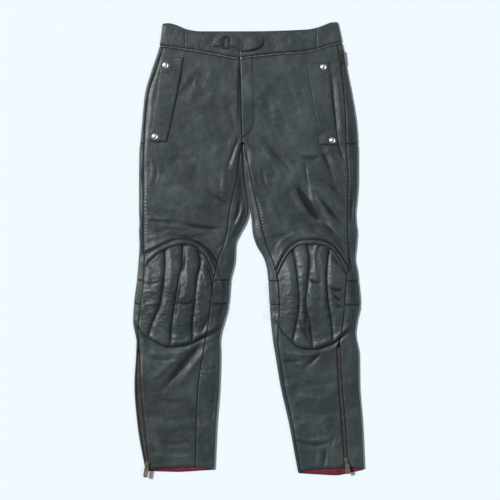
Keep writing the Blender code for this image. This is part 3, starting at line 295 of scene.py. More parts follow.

# Painted shade and light in soft patches: shade beside the big thigh fold and in the crotch, and lighter and
# darker zones of the leg; some are the leather's uneven tone.
LEFT_TONE_AND_PAINTED_LIGHT = (
    Patch(145, -98, 110.0, 70.0, 90.0, -0.24), Patch(98, 307, 130.0, 60.0, 90.0, 0.16),
    Patch(137, 86, 34.0, 12.0, -60.0, -0.45), Patch(234, 448, 30.0, 10.0, 90.0, -0.35),
    Patch(149, 105, 44.0, 10.0, -52.0, -0.75), Patch(86, 330, 110.0, 60.0, 90.0, 0.20),
    Patch(32, 189, 70.0, 24.0, -60.0, 0.05), Patch(11, 154, 60.0, 9.0, -75.0, -0.45),
    Patch(201, 213, 50.0, 16.0, -60.0, -0.18), Patch(243, 260, 150.0, 9.0, -86.0, -0.30),
    Patch(140, 213, 34.0, 16.0, 0.0, -0.12), Patch(192, 43, 44.0, 14.0, -30.0, -0.20),
    Patch(93, 60, 60.0, 26.0, -50.0, 0.12), Patch(149, -98, 26.0, 12.0, 90.0, 0.25),
    Patch(145, -27, 34.0, 7.0, 90.0, -0.45), Patch(206, -107, 40.0, 16.0, 90.0, -0.30),
    Patch(149, -246, 60.0, 9.0, 5.0, -0.40), Patch(130, -328, 60.0, 34.0, 90.0, 0.18),
    Patch(173, -469, 44.0, 20.0, 0.0, -0.16), Patch(248, -375, 120.0, 14.0, 90.0, -0.05),
)

FULLNESS = (
    Level(560, 0.0), Level(470, 0.4), Level(420, 3.0), Level(330, 4.4), Level(240, 4.0),
    Level(120, 4.6), Level(20, 3.6), Level(-60, 3.0), Level(-180, 2.6), Level(-260, 2.8),
    Level(-400, 2.0), Level(-500, 0.8), Level(-560, 0.4),
)
KNEE_RISE = 15.0
KNEE_HALF_HEIGHT = 150.0
KNEE_HALF_WIDTH = 118.0
KNEE_Y = -96.0
GORE_FADE = 70.0
GORE_GROOVE = 4.2
GORE_GROOVE_WIDTH = 6.0
RIM_RISE = 2.8
KNEE_FOOT_RISE = 2.6
RIM_WIDTH = 8.0

WAIST_SEAM = (
    Level(-208, 481), Level(-137, 471), Level(-62, 458), Level(-20, 451), Level(8, 455), Level(74, 462),
    Level(133, 466), Level(163, 473), Level(192, 482), Level(222, 490),
)
WAIST_BACK_SEAM = (
    Level(-213, 480), Level(-114, 474), Level(4, 471), Level(121, 477), Level(224, 490),
)
BAND_FRONT_TOP = (
    Level(-206, 533), Level(-180, 523), Level(-142, 515), Level(-86, 508), Level(-20, 499), Level(32, 507),
    Level(98, 512), Level(152, 518), Level(182, 529), Level(215, 538),
)
BAND_BACK_TOP = (
    Level(-206, 534), Level(-187, 535), Level(-170, 531), Level(-142, 520), Level(-114, 516), Level(4, 516),
    Level(135, 520), Level(163, 525), Level(182, 532), Level(196, 537), Level(217, 538),
)
BACK_CENTRE = (Level(-560, -13), Level(CROTCH_Y, -13), Level(560, 20))
BAND_SPLIT = {"r": -149, "l": 161}
KNEE_PANEL = {"r": (-70, -126), "l": (-72, -128)}

RIGHT_HEM_FRONT = (
    Level(-246, -518), Level(-208, -512), Level(-170, -509), Level(-126, -507), Level(-102, -511),
    Level(-79, -515),
)
RIGHT_HEM_BACK = (
    Level(-246, -519), Level(-208, -520), Level(-166, -521), Level(-114, -518), Level(-79, -516),
)
LEFT_HEM_FRONT = (
    Level(114, -523), Level(135, -516), Level(175, -512), Level(220, -510), Level(250, -509),
    Level(276, -513),
)
LEFT_HEM_BACK = (
    Level(114, -524), Level(163, -527), Level(206, -529), Level(239, -523), Level(276, -515),
)
LINING_DEPTH = 46.0
LINING_SIDE = 6.0

RIGHT_FLAP_OUTER = (
    Level(455, -203), Level(431, -206), Level(403, -209), Level(351, -216), Level(302, -224),
    Level(257, -233),
)
RIGHT_FLAP_INNER = (
    Level(455, -151), Level(436, -154), Level(403, -159), Level(375, -165), Level(314, -178),
    Level(255, -191),
)
RIGHT_FLAP_TOP = (
    Level(-213, 446), Level(-201, 449), Level(-189, 454), Level(-168, 454), Level(-152, 454),
    Level(-137, 453),
)
RIGHT_FLAP_FOOT = (
    Level(-241, 258), Level(-231, 257), Level(-220, 254), Level(-189, 254), Level(-170, 254),
)
LEFT_FLAP_OUTER = (
    Level(443, 187), Level(422, 190), Level(377, 194), Level(337, 198), Level(297, 204), Level(246, 209),
)
LEFT_FLAP_INNER = (
    Level(443, 134), Level(416, 138), Level(389, 144), Level(325, 154), Level(297, 159), Level(248, 166),
)
LEFT_FLAP_TOP = (
    Level(121, 439), Level(135, 439), Level(161, 441), Level(189, 442), Level(201, 442),
)
LEFT_FLAP_FOOT = (
    Level(156, 249), Level(166, 248), Level(187, 247), Level(208, 247), Level(220, 248),
)
SNAPS = {"r": ((-194, 434), (-219, 267)), "l": ((176, 430), (197, 258))}
SNAP_RADIUS = 7.4
LAY_GAP = 0.35

TAB_LEFT = -43
TAB_RIGHT = 37
TAB_TOP = (
    Level(-48, 500), Level(-29, 505), Level(-6, 508), Level(18, 509), Level(29, 505), Level(37, 497),
)
TAB_FOOT = (
    Level(-48, 481), Level(-41, 480), Level(-32, 477), Level(-22, 470), Level(-13, 467), Level(4, 469),
    Level(25, 476), Level(33, 483), Level(37, 492),
)
HOLDER_X = (-83, -64)
HOLDER_Y = (478, 500)
FLY_WIDTH = 29.0
FLY_TURN_Y = 314.0
FLY_FOOT_Y = 268.0
FLY_RISE = 1.5
FLY_STITCH = (
    (11, 448), (11, 337), (10, 307), (7, 291), (0, 278), (-8, 268),
)
ELASTIC_X = (211, 223)
ELASTIC_Y = (438, 471)
PHOTO_SCALE = 2.35
PHOTO_CENTRE = (4, 1)


def smooth(value: Array) -> Array:
    """Ease a value from 0 to 1 between 0 and 1."""
    value = np.clip(value, 0.0, 1.0)
    return value * value * (3.0 - 2.0 * value)


def lerp(start: Array, end: Array, share: Array) -> Array:
    """Go from start to end by a share."""
    return start + (end - start) * share


class Line:
    """A smooth line through a table's rows, for arrays of places."""

    def __init__(self, rows: Sequence) -> None:
        """Fit slopes that never overshoot the rows.

        Args:
            rows: pairs of place and value, in any order.
        """
        table = np.array(sorted((float(row[0]), float(row[1])) for row in rows))
        self.at, self.value = table[:, 0], table[:, 1]
        steps = np.diff(self.value) / np.diff(self.at)
        before, after = steps[:-1], steps[1:]
        both = before + after
        inner = np.where(before * after > 0.0, 2.0 * before * after / np.where(both == 0.0, 1.0, both), 0.0)
        self.slope = np.concatenate(([steps[0]], inner, [steps[-1]]))

    def __call__(self, at: Array) -> Array:
        """Return the line's value at each place."""
        at = np.asarray(at, dtype=float)
        held = np.clip(at, self.at[0], self.at[-1])
        i = np.clip(np.searchsorted(self.at, held, side="right") - 1, 0, len(self.at) - 2)
        span = self.at[i + 1] - self.at[i]
        t = (held - self.at[i]) / span
        inside = (
            self.value[i] * (1 + 2 * t) * (1 - t) ** 2
            + self.slope[i] * span * t * (1 - t) ** 2
            + self.value[i + 1] * t * t * (3 - 2 * t)
            - self.slope[i + 1] * span * t * t * (1 - t)
        )
        end_slope = np.where(at < held, self.slope[0], self.slope[-1])
        return inside + (at - held) * end_slope


def shifted(line: Line1D, by: float) -> Line1D:
    """Return a line moved by a distance."""
    return lambda at: line(at) + by


def level(value: float) -> Line1D:
    """Return a line that is the same everywhere."""
    return lambda at: np.zeros_like(np.asarray(at, dtype=float)) + value


class Ripple:
    """Gentle uneven swells of a given size, the same on each run."""

    def __init__(self, size: float, seed: int) -> None:
        """Make a lattice of heights.

        Args:
            size: distance between swells in millimetres.
            seed: number that picks the swells.
        """
        self.size = size
        self.heights = np.random.RandomState(seed).uniform(-1.0, 1.0, (64, 64))

    def __call__(self, x: Array, y: Array) -> Array:
        """Return the swell's height, from -1 to 1, at each place."""
        gx, gy = x / self.size + 31.7, y / self.size + 29.3
        ix, iy = np.floor(gx).astype(int), np.floor(gy).astype(int)
        fx, fy = smooth(gx - ix), smooth(gy - iy)
        h = self.heights
        low = lerp(h[iy % 64, ix % 64], h[iy % 64, (ix + 1) % 64], fx)
        high = lerp(h[(iy + 1) % 64, ix % 64], h[(iy + 1) % 64, (ix + 1) % 64], fx)
        return lerp(low, high, fy)


@dataclass
class Relief:
    """Height above the flat-lying leather, and where it is rubbed and lightened as painted highlight, or
    creased and darkened as painted shade.
    """

    lift: Array
    rubbed_and_lit: Array


def fold_relief(folds: Sequence[Fold], x: Array, y: Array) -> Relief:
    """Add up folds.

    Args:
        folds: rows of the leg's fold table.
        x: places across.
        y: places along.

    Returns:
        The folds' height, and how much of it is crest or trough.
    """
    lift = np.zeros_like(x)
    steps = 14
    for fold in folds:
        reach = 3.2 * fold.width
        xs, ys = (fold.x0, fold.x1, fold.x2), (fold.y0, fold.y1, fold.y2)
        near = ((x > min(xs) - reach) & (x < max(xs) + reach)
                & (y > min(ys) - reach) & (y < max(ys) + reach))
        if not near.any():
            continue
        px, py = x[near], y[near]
        best = np.full(px.shape, 1e9)
        place = np.zeros(px.shape)
        pull_x, pull_y = 2 * xs[1] - (xs[0] + xs[2]) / 2, 2 * ys[1] - (ys[0] + ys[2]) / 2
        ts = np.linspace(0.0, 1.0, steps + 1)
        fx = (1 - ts) ** 2 * xs[0] + 2 * ts * (1 - ts) * pull_x + ts ** 2 * xs[2]
        fy = (1 - ts) ** 2 * ys[0] + 2 * ts * (1 - ts) * pull_y + ts ** 2 * ys[2]
        for k in range(steps):
            ax, ay, bx, by = fx[k], fy[k], fx[k + 1] - fx[k], fy[k + 1] - fy[k]
            t = np.clip(((px - ax) * bx + (py - ay) * by) / (bx * bx + by * by + 1e-9), 0.0, 1.0)
            gap = (px - ax - t * bx) ** 2 + (py - ay - t * by) ** 2
            closer = gap < best
            best = np.where(closer, gap, best)
            place = np.where(closer, (k + t) / steps, place)
        ends = 0.22 + 0.78 * np.sin(np.pi * place) ** 0.8
        lift[near] += fold.lift * ends * np.exp(-best / fold.width ** 2)
    return Relief(lift, lift.copy())


def pucker_lift(puckers: Sequence[Pucker], x: Array, y: Array) -> Array:
    """Return the height of the short ripples beside gathered seams."""
    lift = np.zeros_like(x)
    for row in puckers:
        dx, dy = row.x1 - row.x0, row.y1 - row.y0
        length = math.hypot(dx, dy)
        along = ((x - row.x0) * dx + (y - row.y0) * dy) / length
        across = ((x - row.x0) * dy - (y - row.y0) * dx) / length
        ends = smooth(along / 12.0) * smooth((length - along) / 12.0)
        uneven = np.sin(2 * np.pi * along / row.pitch + 1.7 * np.sin(along / (2.6 * row.pitch)))
        lift += row.lift * ends * uneven * np.exp(-(across / row.reach) ** 2)
    return lift


SWELL_LARGE = Ripple(46.0, 5)
SWELL_MIDDLE = Ripple(19.0, 11)
CRINKLE_WIDE = Ripple(21.0, 23)
CRINKLE_FINE = Ripple(9.0, 31)


class LegShape:
    """One leg with its half of the seat: lines in plan and the front's height."""

    def __init__(self, tag: str, side: int, stations: Sequence[Station], gores: Sequence[Gore],
                 arcs: Sequence[Arc], zip_rows: Sequence[Zip], folds: Sequence[Fold],
                 puckers: Sequence[Pucker], patches: Sequence, hems: Sequence) -> None:
        """Fit smooth lines to the leg's tables.

        Args:
            tag: r or l, the wearer's side.
            side: the way to the leg's outer edge along X.
            stations: levels of the leg.
            gores: levels of the knee's seams.
            arcs: places across the knee.
            zip_rows: levels of the ankle zip.
            folds: creases and ridges.
            puckers: gathered seams.
            patches: soft patches of painted shade and painted light, some of them uneven tone.
            hems: tables of the front's and the back's hem.
        """
        self.tag, self.side = tag, side
        self.outer = Line([(s.y, s.outer) for s in stations])
        self.seam_line = Line([(s.y, s.seam) for s in stations])
        self.inner_line = Line([(s.y, s.inner_seam) for s in stations])
        self.inner_edge = Line([(s.y, s.inner_edge) for s in stations])
        self.gores = [Line([(g.y, g[k]) for g in gores]) for k in (1, 2, 3)]
        self.gore_levels = (max(g.y for g in gores), min(g.y for g in gores))
        self.rim_top = Line([(a.x, a.rim_top) for a in arcs])
        self.rim_foot = Line([(a.x, a.rim_foot) for a in arcs])
        self.knee_foot = Line([(a.x, a.foot) for a in arcs])
        self.zip_line = Line([(z.y, z.outer) for z in zip_rows])
        self.zip_inner = Line([(z.y, z.inner) for z in zip_rows])
        self.zip_top = max(z.y for z in zip_rows)
        self.folds, self.puckers, self.patches = folds, puckers, patches
        self.hem_front, self.hem_back = Line(hems[0]), Line(hems[1])
        self.knee_x = sum(a.x for a in arcs) / len(arcs)

    def clear(self, line: Array, y: Array) -> Array:
        """Keep a line clear of the rounded outer edge."""
        least = self.outer(y) - self.side * (EDGE_RADIUS + 0.9)
        return np.minimum(line, least) if self.side > 0 else np.maximum(line, least)

    def seam(self, y: Array) -> Array:
        """Return the side seam's place across."""
        return self.clear(self.seam_line(y), y)

    def inner_seam(self, y: Array) -> Array:
        """Return the fly line above the crotch, and the inner leg's seam below it."""
        line = self.inner_line(y)
        least = self.inner_edge(y) + self.side * (EDGE_RADIUS + 0.9)
        kept = np.maximum(line, least) if self.side > 0 else np.minimum(line, least)
        return lerp(kept, line, np.clip((y - CROTCH_Y) / CROTCH_STEP, 0.0, 1.0))

    def zip_outer(self, y: Array) -> Array:
        """Return the ankle zip's outer edge."""
        return self.clear(self.zip_line(y), y)

    def front_side(self, y: Array) -> Array:
        """Return the front's outer edge: the seam, then the ankle zip."""
        share = np.clip((y - self.zip_top) / ZIP_SPREAD, 0.0, 1.0)
        return lerp(self.zip_inner(y), self.seam(y), share)

    def column(self, number: Array, y: Array) -> Array:
        """Return the place of the front's column lines, four to each gore."""
        ends = (self.front_side(y), self.inner_seam(y))
        low, high = ends if self.side < 0 else ends[::-1]
        top, foot = self.gore_levels
        even = smooth(np.maximum((y - top) / GORE_FADE, (foot - y) / GORE_FADE))
        held = np.clip(y, foot, top)
        lines = [low + SIDE_HALF]
        for k, gore in enumerate(self.gores, start=1):
            lines.append(lerp(gore(held), lerp(low, high, k / 4), even))
        lines.append(high - SIDE_HALF)
        stack = np.stack([line + 0.0 * y for line in lines])
        k = np.clip(np.floor(number / 4).astype(int), 0, 3)
        picks = np.arange(len(y))
        return lerp(stack[k, picks], stack[k + 1, picks], number / 4 - k)

    def fly(self, x: Array, y: Array) -> Array:
        """Return the extra height of the fly's flat width on the left front."""
        if self.side < 0:
            return 0.0 * x
        share = np.clip((y - FLY_FOOT_Y) / (FLY_TURN_Y - FLY_FOOT_Y), 0.0, 1.0)
        width = FLY_WIDTH * np.sqrt(1.0 - (1.0 - share) ** 2)
        inside = (y > FLY_FOOT_Y) & (y < WAIST_SEAM_LINE(x) + HALF_ZIP)
        return inside * FLY_RISE * smooth((width - (x - self.inner_seam(y))) / 2.2)

    def crinkle(self, x: Array, y: Array) -> Array:
        """Return how crinkled the leather is: most on the knee, least on the thigh."""
        on_knee = smooth((self.rim_top(x) + 4.0 - y) / 14.0) * smooth((y - self.knee_foot(x) + 6.0) / 14.0)
        below = smooth((self.knee_foot(x) - y) / 30.0)
        band = smooth((y - 455.0) / 12.0)
        return 0.30 + 0.60 * on_knee + 0.18 * below + 0.2 * band

    def shade(self, x: Array, y: Array) -> Array:
        """Return the painted shade and painted light of the soft patches, partly the leather's uneven tone.
        """
        shade = 0.0 * x
        for patch in self.patches:
            turn = math.radians(patch.turn)
            dx, dy = x - patch.x, y - patch.y
            along = (dx * math.cos(turn) + dy * math.sin(turn)) / patch.long
            across = (dy * math.cos(turn) - dx * math.sin(turn)) / patch.wide
            shade = shade + patch.amount * np.exp(-along * along - across * across)
        return shade

    def relief(self, x: Array, y: Array) -> tuple[Array, Array]:
        """Height of the front's outer face, and its rubbed crests, lightened as wear and painted highlight,
        with its troughs darkened as painted shade.

        Args:
            x: places across.
            y: places along.

        Returns:
            Heights in millimetres, and crests as positive numbers for rub and painted highlight, troughs as
            negative ones for painted shade.
        """
        from_outer = (self.outer(y) - x) * self.side
        from_inner = (x - self.inner_edge(y)) * self.side
        near = smooth((from_outer - EDGE_RADIUS) / EDGE_BLEND)
        below = smooth((CROTCH_Y + 6.0 - y) / 40.0)
        near = near * (1.0 - below * (1.0 - smooth((from_inner - EDGE_RADIUS) / EDGE_BLEND)))
        closer = smooth((from_outer - EDGE_RADIUS) / 6.0)
        closer = closer * (1.0 - below * (1.0 - smooth((from_inner - EDGE_RADIUS) / 6.0)))
        folds = fold_relief(self.folds, x, y)
        crinkle = self.crinkle(x, y)
        creased = (1.25 * (0.5 - np.abs(CRINKLE_WIDE(x + 0.25 * y, y - 0.2 * x)))
                   + 0.75 * (0.5 - np.abs(CRINKLE_FINE(x - 0.3 * y, y + 0.15 * x))))
        swell = 1.25 * SWELL_LARGE(x, y) + 0.55 * SWELL_MIDDLE(x + 0.4 * y, y - 0.3 * x)
        gathers = PUCKER_GAIN * pucker_lift(self.puckers, x, y)
        fine = FOLD_GAIN * folds.lift + swell + crinkle * creased + gathers
        body = FULLNESS_LINE(y) + 0.0 * x
        away = ((x - self.knee_x) / KNEE_HALF_WIDTH) ** 2 + ((y - KNEE_Y) / KNEE_HALF_HEIGHT) ** 2
        body = body + KNEE_RISE * np.clip(1.0 - away, 0.0, 1.0) ** 1.3
        knee = self.knee_relief(x, y)
        lift = 2.0 * EDGE_RADIUS + near * (body + knee) + closer * fine + self.fly(x, y)
        # The second value paints the colour: crests lighter as wear and painted highlight, troughs darker as
        # painted shade.
        return np.maximum(lift, 2.6 * WALL), 0.5 * folds.lift + 0.25 * crinkle * creased + 0.14 * swell

    def knee_relief(self, x: Array, y: Array) -> Array:
        """Return the height of the knee's rim, gores and the seams between them."""
        on_knee = (y > self.knee_foot(x)) & (y < self.rim_top(x) + 20.0)
        middle = 0.5 * (self.rim_top(x) + self.rim_foot(x))
        rim = RIM_RISE * np.exp(-((y - middle) / RIM_WIDTH) ** 2)
        rim = rim - 1.8 * np.exp(-((y - self.rim_top(x)) / 3.4) ** 2)
        inside = smooth((self.rim_foot(x) - y) / 4.0) * smooth((y - self.knee_foot(x)) / 10.0)
        grooves = 0.0 * x
        for gore in self.gores:
            across = (x - gore(y)) / GORE_GROOVE_WIDTH
            grooves = grooves - GORE_GROOVE * np.exp(-np.abs(across) ** 1.5)
        over_foot = y - self.knee_foot(x)
        foot = KNEE_FOOT_RISE * (np.exp(-((over_foot - 9.0) / 7.0) ** 2)
                                 - 1.25 * np.exp(-((over_foot + 4.0) / 5.0) ** 2))
        return on_knee * (rim + inside * grooves) + foot * smooth((self.rim_foot(x) - y) / 20.0)


WAIST_SEAM_LINE = Line(WAIST_SEAM)
WAIST_BACK_LINE = Line(WAIST_BACK_SEAM)
BAND_FRONT_LINE = Line(BAND_FRONT_TOP)
BAND_BACK_LINE = Line(BAND_BACK_TOP)
BACK_CENTRE_LINE = Line(BACK_CENTRE)
FULLNESS_LINE = Line(FULLNESS)


@dataclass(frozen=True)
class LeatherFinish:
    """Matt dark leather with rubbed crests partly painted as highlight, dark seams partly painted as shade,
    painted shade in creases and patches, and a brown cast.
    """

    name: str = "leather_slate"
    base: tuple[float, float, float] = (0.019, 0.029, 0.032)
    rubbed_and_lit: tuple[float, float, float] = (0.056, 0.074, 0.077)
    # Near-black of the painted shade in seams, crease troughs and dark patches.
    deep: tuple[float, float, float] = (0.0012, 0.0024, 0.0030)
    brown: tuple[float, float, float] = (0.024, 0.021, 0.018)
    roughness: float = 0.36
    grain_size: float = 820.0
    grain_depth: float = 0.30
    crease_depth: float = 0.5
    rub_and_highlight_gain: float = 1.0

    def build(self, grain: bpy.types.NodeTree, mottle: bpy.types.NodeTree) -> bpy.types.Material:
        """Make the material.

        Args:
            grain: the shared grain group.
            mottle: the shared mottle group.

        Returns:
            The finished material.
        """
        mat, tree, shader = new_material(self.name)
        coords = tree.nodes.new("ShaderNodeTexCoord")
        tone = tree.nodes.new("ShaderNodeGroup")
        tone.node_tree = mottle
        tree.links.new(coords.outputs["Object"], tone.inputs["Place"])
        # Rubbed crests and light patches lighten the colour, as wear and painted highlight; troughs and dark
        # patches darken it as painted shade.
        wear_and_painted_light = attribute(tree, "wear_and_painted_light")
        seam = attribute(tree, "seam")
        cast = attribute(tree, "cast")
        shade = mix(tree, self.base, self.rubbed_and_lit, tone.outputs["Patches"])
        shade = mix(tree, shade, self.brown, cast)
        rub_and_highlight = math_node(tree, "MULTIPLY", wear_and_painted_light, tone.outputs["Scuffs"])
        shade = mix(tree, shade, self.rubbed_and_lit, math_node(tree, "MULTIPLY", rub_and_highlight, self.rub_and_highlight_gain))
        # Painted shade: seam grooves, crease troughs and dark patches go towards the deep colour.
        shade = mix(tree, shade, self.deep, seam)
        tree.links.new(shade, shader.inputs["Base Color"])
        rough = math_node(tree, "MULTIPLY", tone.outputs["Scuffs"], 0.16)
        rough = math_node(tree, "ADD", rough, self.roughness)
        dull = math_node(tree, "MULTIPLY", math_node(tree, "POWER", seam, 2.0), 0.6)
        tree.links.new(math_node(tree, "ADD", rough, dull), shader.inputs["Roughness"])
        skin = tree.nodes.new("ShaderNodeGroup")
        skin.node_tree = grain
        skin.inputs["Size"].default_value = self.grain_size
        tree.links.new(coords.outputs["Object"], skin.inputs["Place"])
        bump = tree.nodes.new("ShaderNodeBump")
        bump.inputs["Strength"].default_value = self.grain_depth
        bump.inputs["Distance"].default_value = 0.0006
        tree.links.new(skin.outputs["Height"], bump.inputs["Height"])
        folded = tree.nodes.new("ShaderNodeBump")
        folded.inputs["Strength"].default_value = self.crease_depth
        folded.inputs["Distance"].default_value = 0.0011
        creases = math_node(tree, "MULTIPLY", skin.outputs["Creases"], attribute(tree, "crinkle"))
        tree.links.new(creases, folded.inputs["Height"])
        tree.links.new(bump.outputs["Normal"], folded.inputs["Normal"])
        tree.links.new(folded.outputs["Normal"], shader.inputs["Normal"])
        return mat


@dataclass(frozen=True)
class MetalFinish:
    """Cast or plated metal with handling marks."""

    name: str
    base: tuple[float, float, float]
    dull: tuple[float, float, float]
    roughness: float = 0.3
    metallic: float = 1.0

    def build(self, mottle: bpy.types.NodeTree) -> bpy.types.Material:
        """Make the material with the shared mottle group."""
        mat, tree, shader = new_material(self.name)
        coords = tree.nodes.new("ShaderNodeTexCoord")
        tone = tree.nodes.new("ShaderNodeGroup")
        tone.node_tree = mottle
        tone.inputs["Size"].default_value = 9.0
        tree.links.new(coords.outputs["Object"], tone.inputs["Place"])
        tree.links.new(mix(tree, self.base, self.dull, tone.outputs["Scuffs"]), shader.inputs["Base Color"])
        rough = math_node(tree, "MULTIPLY", tone.outputs["Patches"], 0.25)
        tree.links.new(math_node(tree, "ADD", rough, self.roughness), shader.inputs["Roughness"])
        shader.inputs["Metallic"].default_value = self.metallic
        return mat


@dataclass(frozen=True)
class ClothFinish:
    """Woven tape, elastic or lining, with its threads."""

    name: str
    base: tuple[float, float, float]
    deep: tuple[float, float, float]
    threads: float = 1600.0
    roughness: float = 0.75

    def build(self, mottle: bpy.types.NodeTree) -> bpy.types.Material:
        """Make the material with the shared mottle group."""
        mat, tree, shader = new_material(self.name)
        coords = tree.nodes.new("ShaderNodeTexCoord")
        tone = tree.nodes.new("ShaderNodeGroup")
        tone.node_tree = mottle
        tree.links.new(coords.outputs["Object"], tone.inputs["Place"])
        tree.links.new(mix(tree, self.base, self.deep, tone.outputs["Scuffs"]), shader.inputs["Base Color"])
        shader.inputs["Roughness"].default_value = self.roughness
        heights = []
        for axis in ("X", "Y"):
            wave = tree.nodes.new("ShaderNodeTexWave")
            wave.bands_direction = axis
            wave.inputs["Scale"].default_value = self.threads
            tree.links.new(coords.outputs["Object"], wave.inputs["Vector"])
            heights.append(wave.outputs["Fac"])
        bump = tree.nodes.new("ShaderNodeBump")
        bump.inputs["Strength"].default_value = 0.4
        bump.inputs["Distance"].default_value = 0.0003
        tree.links.new(math_node(tree, "MAXIMUM", *heights), bump.inputs["Height"])
        tree.links.new(bump.outputs["Normal"], shader.inputs["Normal"])
        return mat


def new_material(name: str) -> tuple:
    """Make an empty material; return it with its tree and its shader."""
    mat = bpy.data.materials.new(name + "_finish")
    mat.use_nodes = True
    return mat, mat.node_tree, mat.node_tree.nodes["Principled BSDF"]


def attribute(tree: bpy.types.NodeTree, name: str) -> bpy.types.NodeSocket:
    """Return the value of a piece's own attribute."""
    node = tree.nodes.new("ShaderNodeAttribute")
    node.attribute_name = name
    return node.outputs["Fac"]


def put(tree: bpy.types.NodeTree, value: object, socket: bpy.types.NodeSocket) -> None:
    """Link or set one input."""
    if isinstance(value, bpy.types.NodeSocket):
        tree.links.new(value, socket)
    elif isinstance(value, tuple):
        socket.default_value = (*value, 1.0)
    else:
        socket.default_value = value


def mix(tree: bpy.types.NodeTree, first: object, second: object, share: object) -> bpy.types.NodeSocket:
    """Mix two colours by a share and return the result."""
    node = tree.nodes.new("ShaderNodeMix")
    node.data_type = "RGBA"
    node.clamp_factor = True
    put(tree, share, node.inputs["Factor"])
    put(tree, first, node.inputs[6])
    put(tree, second, node.inputs[7])
    return node.outputs[2]


def math_node(tree: bpy.types.NodeTree, kind: str, first: object, second: object) -> bpy.types.NodeSocket:
    """Return a sum, product or other result of two values."""
    node = tree.nodes.new("ShaderNodeMath")
    node.operation = kind
    put(tree, first, node.inputs[0])
    put(tree, second, node.inputs[1])
    return node.outputs[0]


def grain_group() -> bpy.types.NodeTree:
    """Make the shared leather skin: fine pebbles, and soft creases that cross each other."""
    tree = bpy.data.node_groups.new("leather_grain", "ShaderNodeTree")
    face = tree.interface
    face.new_socket("Place", in_out="INPUT", socket_type="NodeSocketVector")
    size = face.new_socket("Size", in_out="INPUT", socket_type="NodeSocketFloat")
    size.default_value = 900.0
    face.new_socket("Height", in_out="OUTPUT", socket_type="NodeSocketFloat")
    face.new_socket("Creases", in_out="OUTPUT", socket_type="NodeSocketFloat")
    entry, end = tree.nodes.new("NodeGroupInput"), tree.nodes.new("NodeGroupOutput")
    cells_node = tree.nodes.new("ShaderNodeTexVoronoi")
    tree.links.new(entry.outputs["Place"], cells_node.inputs["Vector"])
    tree.links.new(entry.outputs["Size"], cells_node.inputs["Scale"])
    tree.links.new(cells_node.outputs["Distance"], end.inputs["Height"])
    total = None
    for scale, weight in ((70.0, 0.9), (150.0, 0.55), (330.0, 0.3)):
        noise = tree.nodes.new("ShaderNodeTexNoise")
        noise.inputs["Scale"].default_value = scale
        noise.inputs["Detail"].default_value = 1.5
        noise.inputs["Distortion"].default_value = 0.9
        tree.links.new(entry.outputs["Place"], noise.inputs["Vector"])
        off = math_node(tree, "ABSOLUTE", math_node(tree, "SUBTRACT", noise.outputs["Fac"], 0.5), 0.0)
        part = math_node(tree, "MULTIPLY", math_node(tree, "POWER", off, 0.6), weight)
        total = part if total is None else math_node(tree, "ADD", total, part)
    tree.links.new(total, end.inputs["Creases"])
    return tree


def mottle_group() -> bpy.types.NodeTree:
    """Make the shared unevenness of tone: soft patches and broken scuffs."""
    tree = bpy.data.node_groups.new("uneven_tone", "ShaderNodeTree")
    face = tree.interface
    face.new_socket("Place", in_out="INPUT", socket_type="NodeSocketVector")
    size = face.new_socket("Size", in_out="INPUT", socket_type="NodeSocketFloat")
    size.default_value = 1.0
    face.new_socket("Patches", in_out="OUTPUT", socket_type="NodeSocketFloat")
    face.new_socket("Scuffs", in_out="OUTPUT", socket_type="NodeSocketFloat")
    entry, end = tree.nodes.new("NodeGroupInput"), tree.nodes.new("NodeGroupOutput")
    layers = ((13.0, 5.0, 0.42, 0.86, "Patches"), (95.0, 8.0, 0.34, 0.68, "Scuffs"))
    for scale, detail, low, high, name in layers:
        noise = tree.nodes.new("ShaderNodeTexNoise")
        noise.inputs["Detail"].default_value = detail
        noise.inputs["Roughness"].default_value = 0.62
        tree.links.new(entry.outputs["Place"], noise.inputs["Vector"])
        tree.links.new(math_node(tree, "MULTIPLY", entry.outputs["Size"], scale), noise.inputs["Scale"])
        spread = tree.nodes.new("ShaderNodeMapRange")
        spread.inputs["From Min"].default_value = low
        spread.inputs["From Max"].default_value = high
        tree.links.new(noise.outputs["Fac"], spread.inputs["Value"])
        tree.links.new(spread.outputs["Result"], end.inputs[name])
    return tree


class Slot(Enum):
    """The pieces' material slots."""

    LEATHER = "leather_slate"
    LINING = "lining_crimson"
    ELASTIC = "elastic_black"
    TAPE = "zip_tape_black"
    TEETH = "zip_teeth_silver"
    SNAP = "snap_silver"
    BRASS = "slider_brass"
    BUCKLE = "buckle_black"


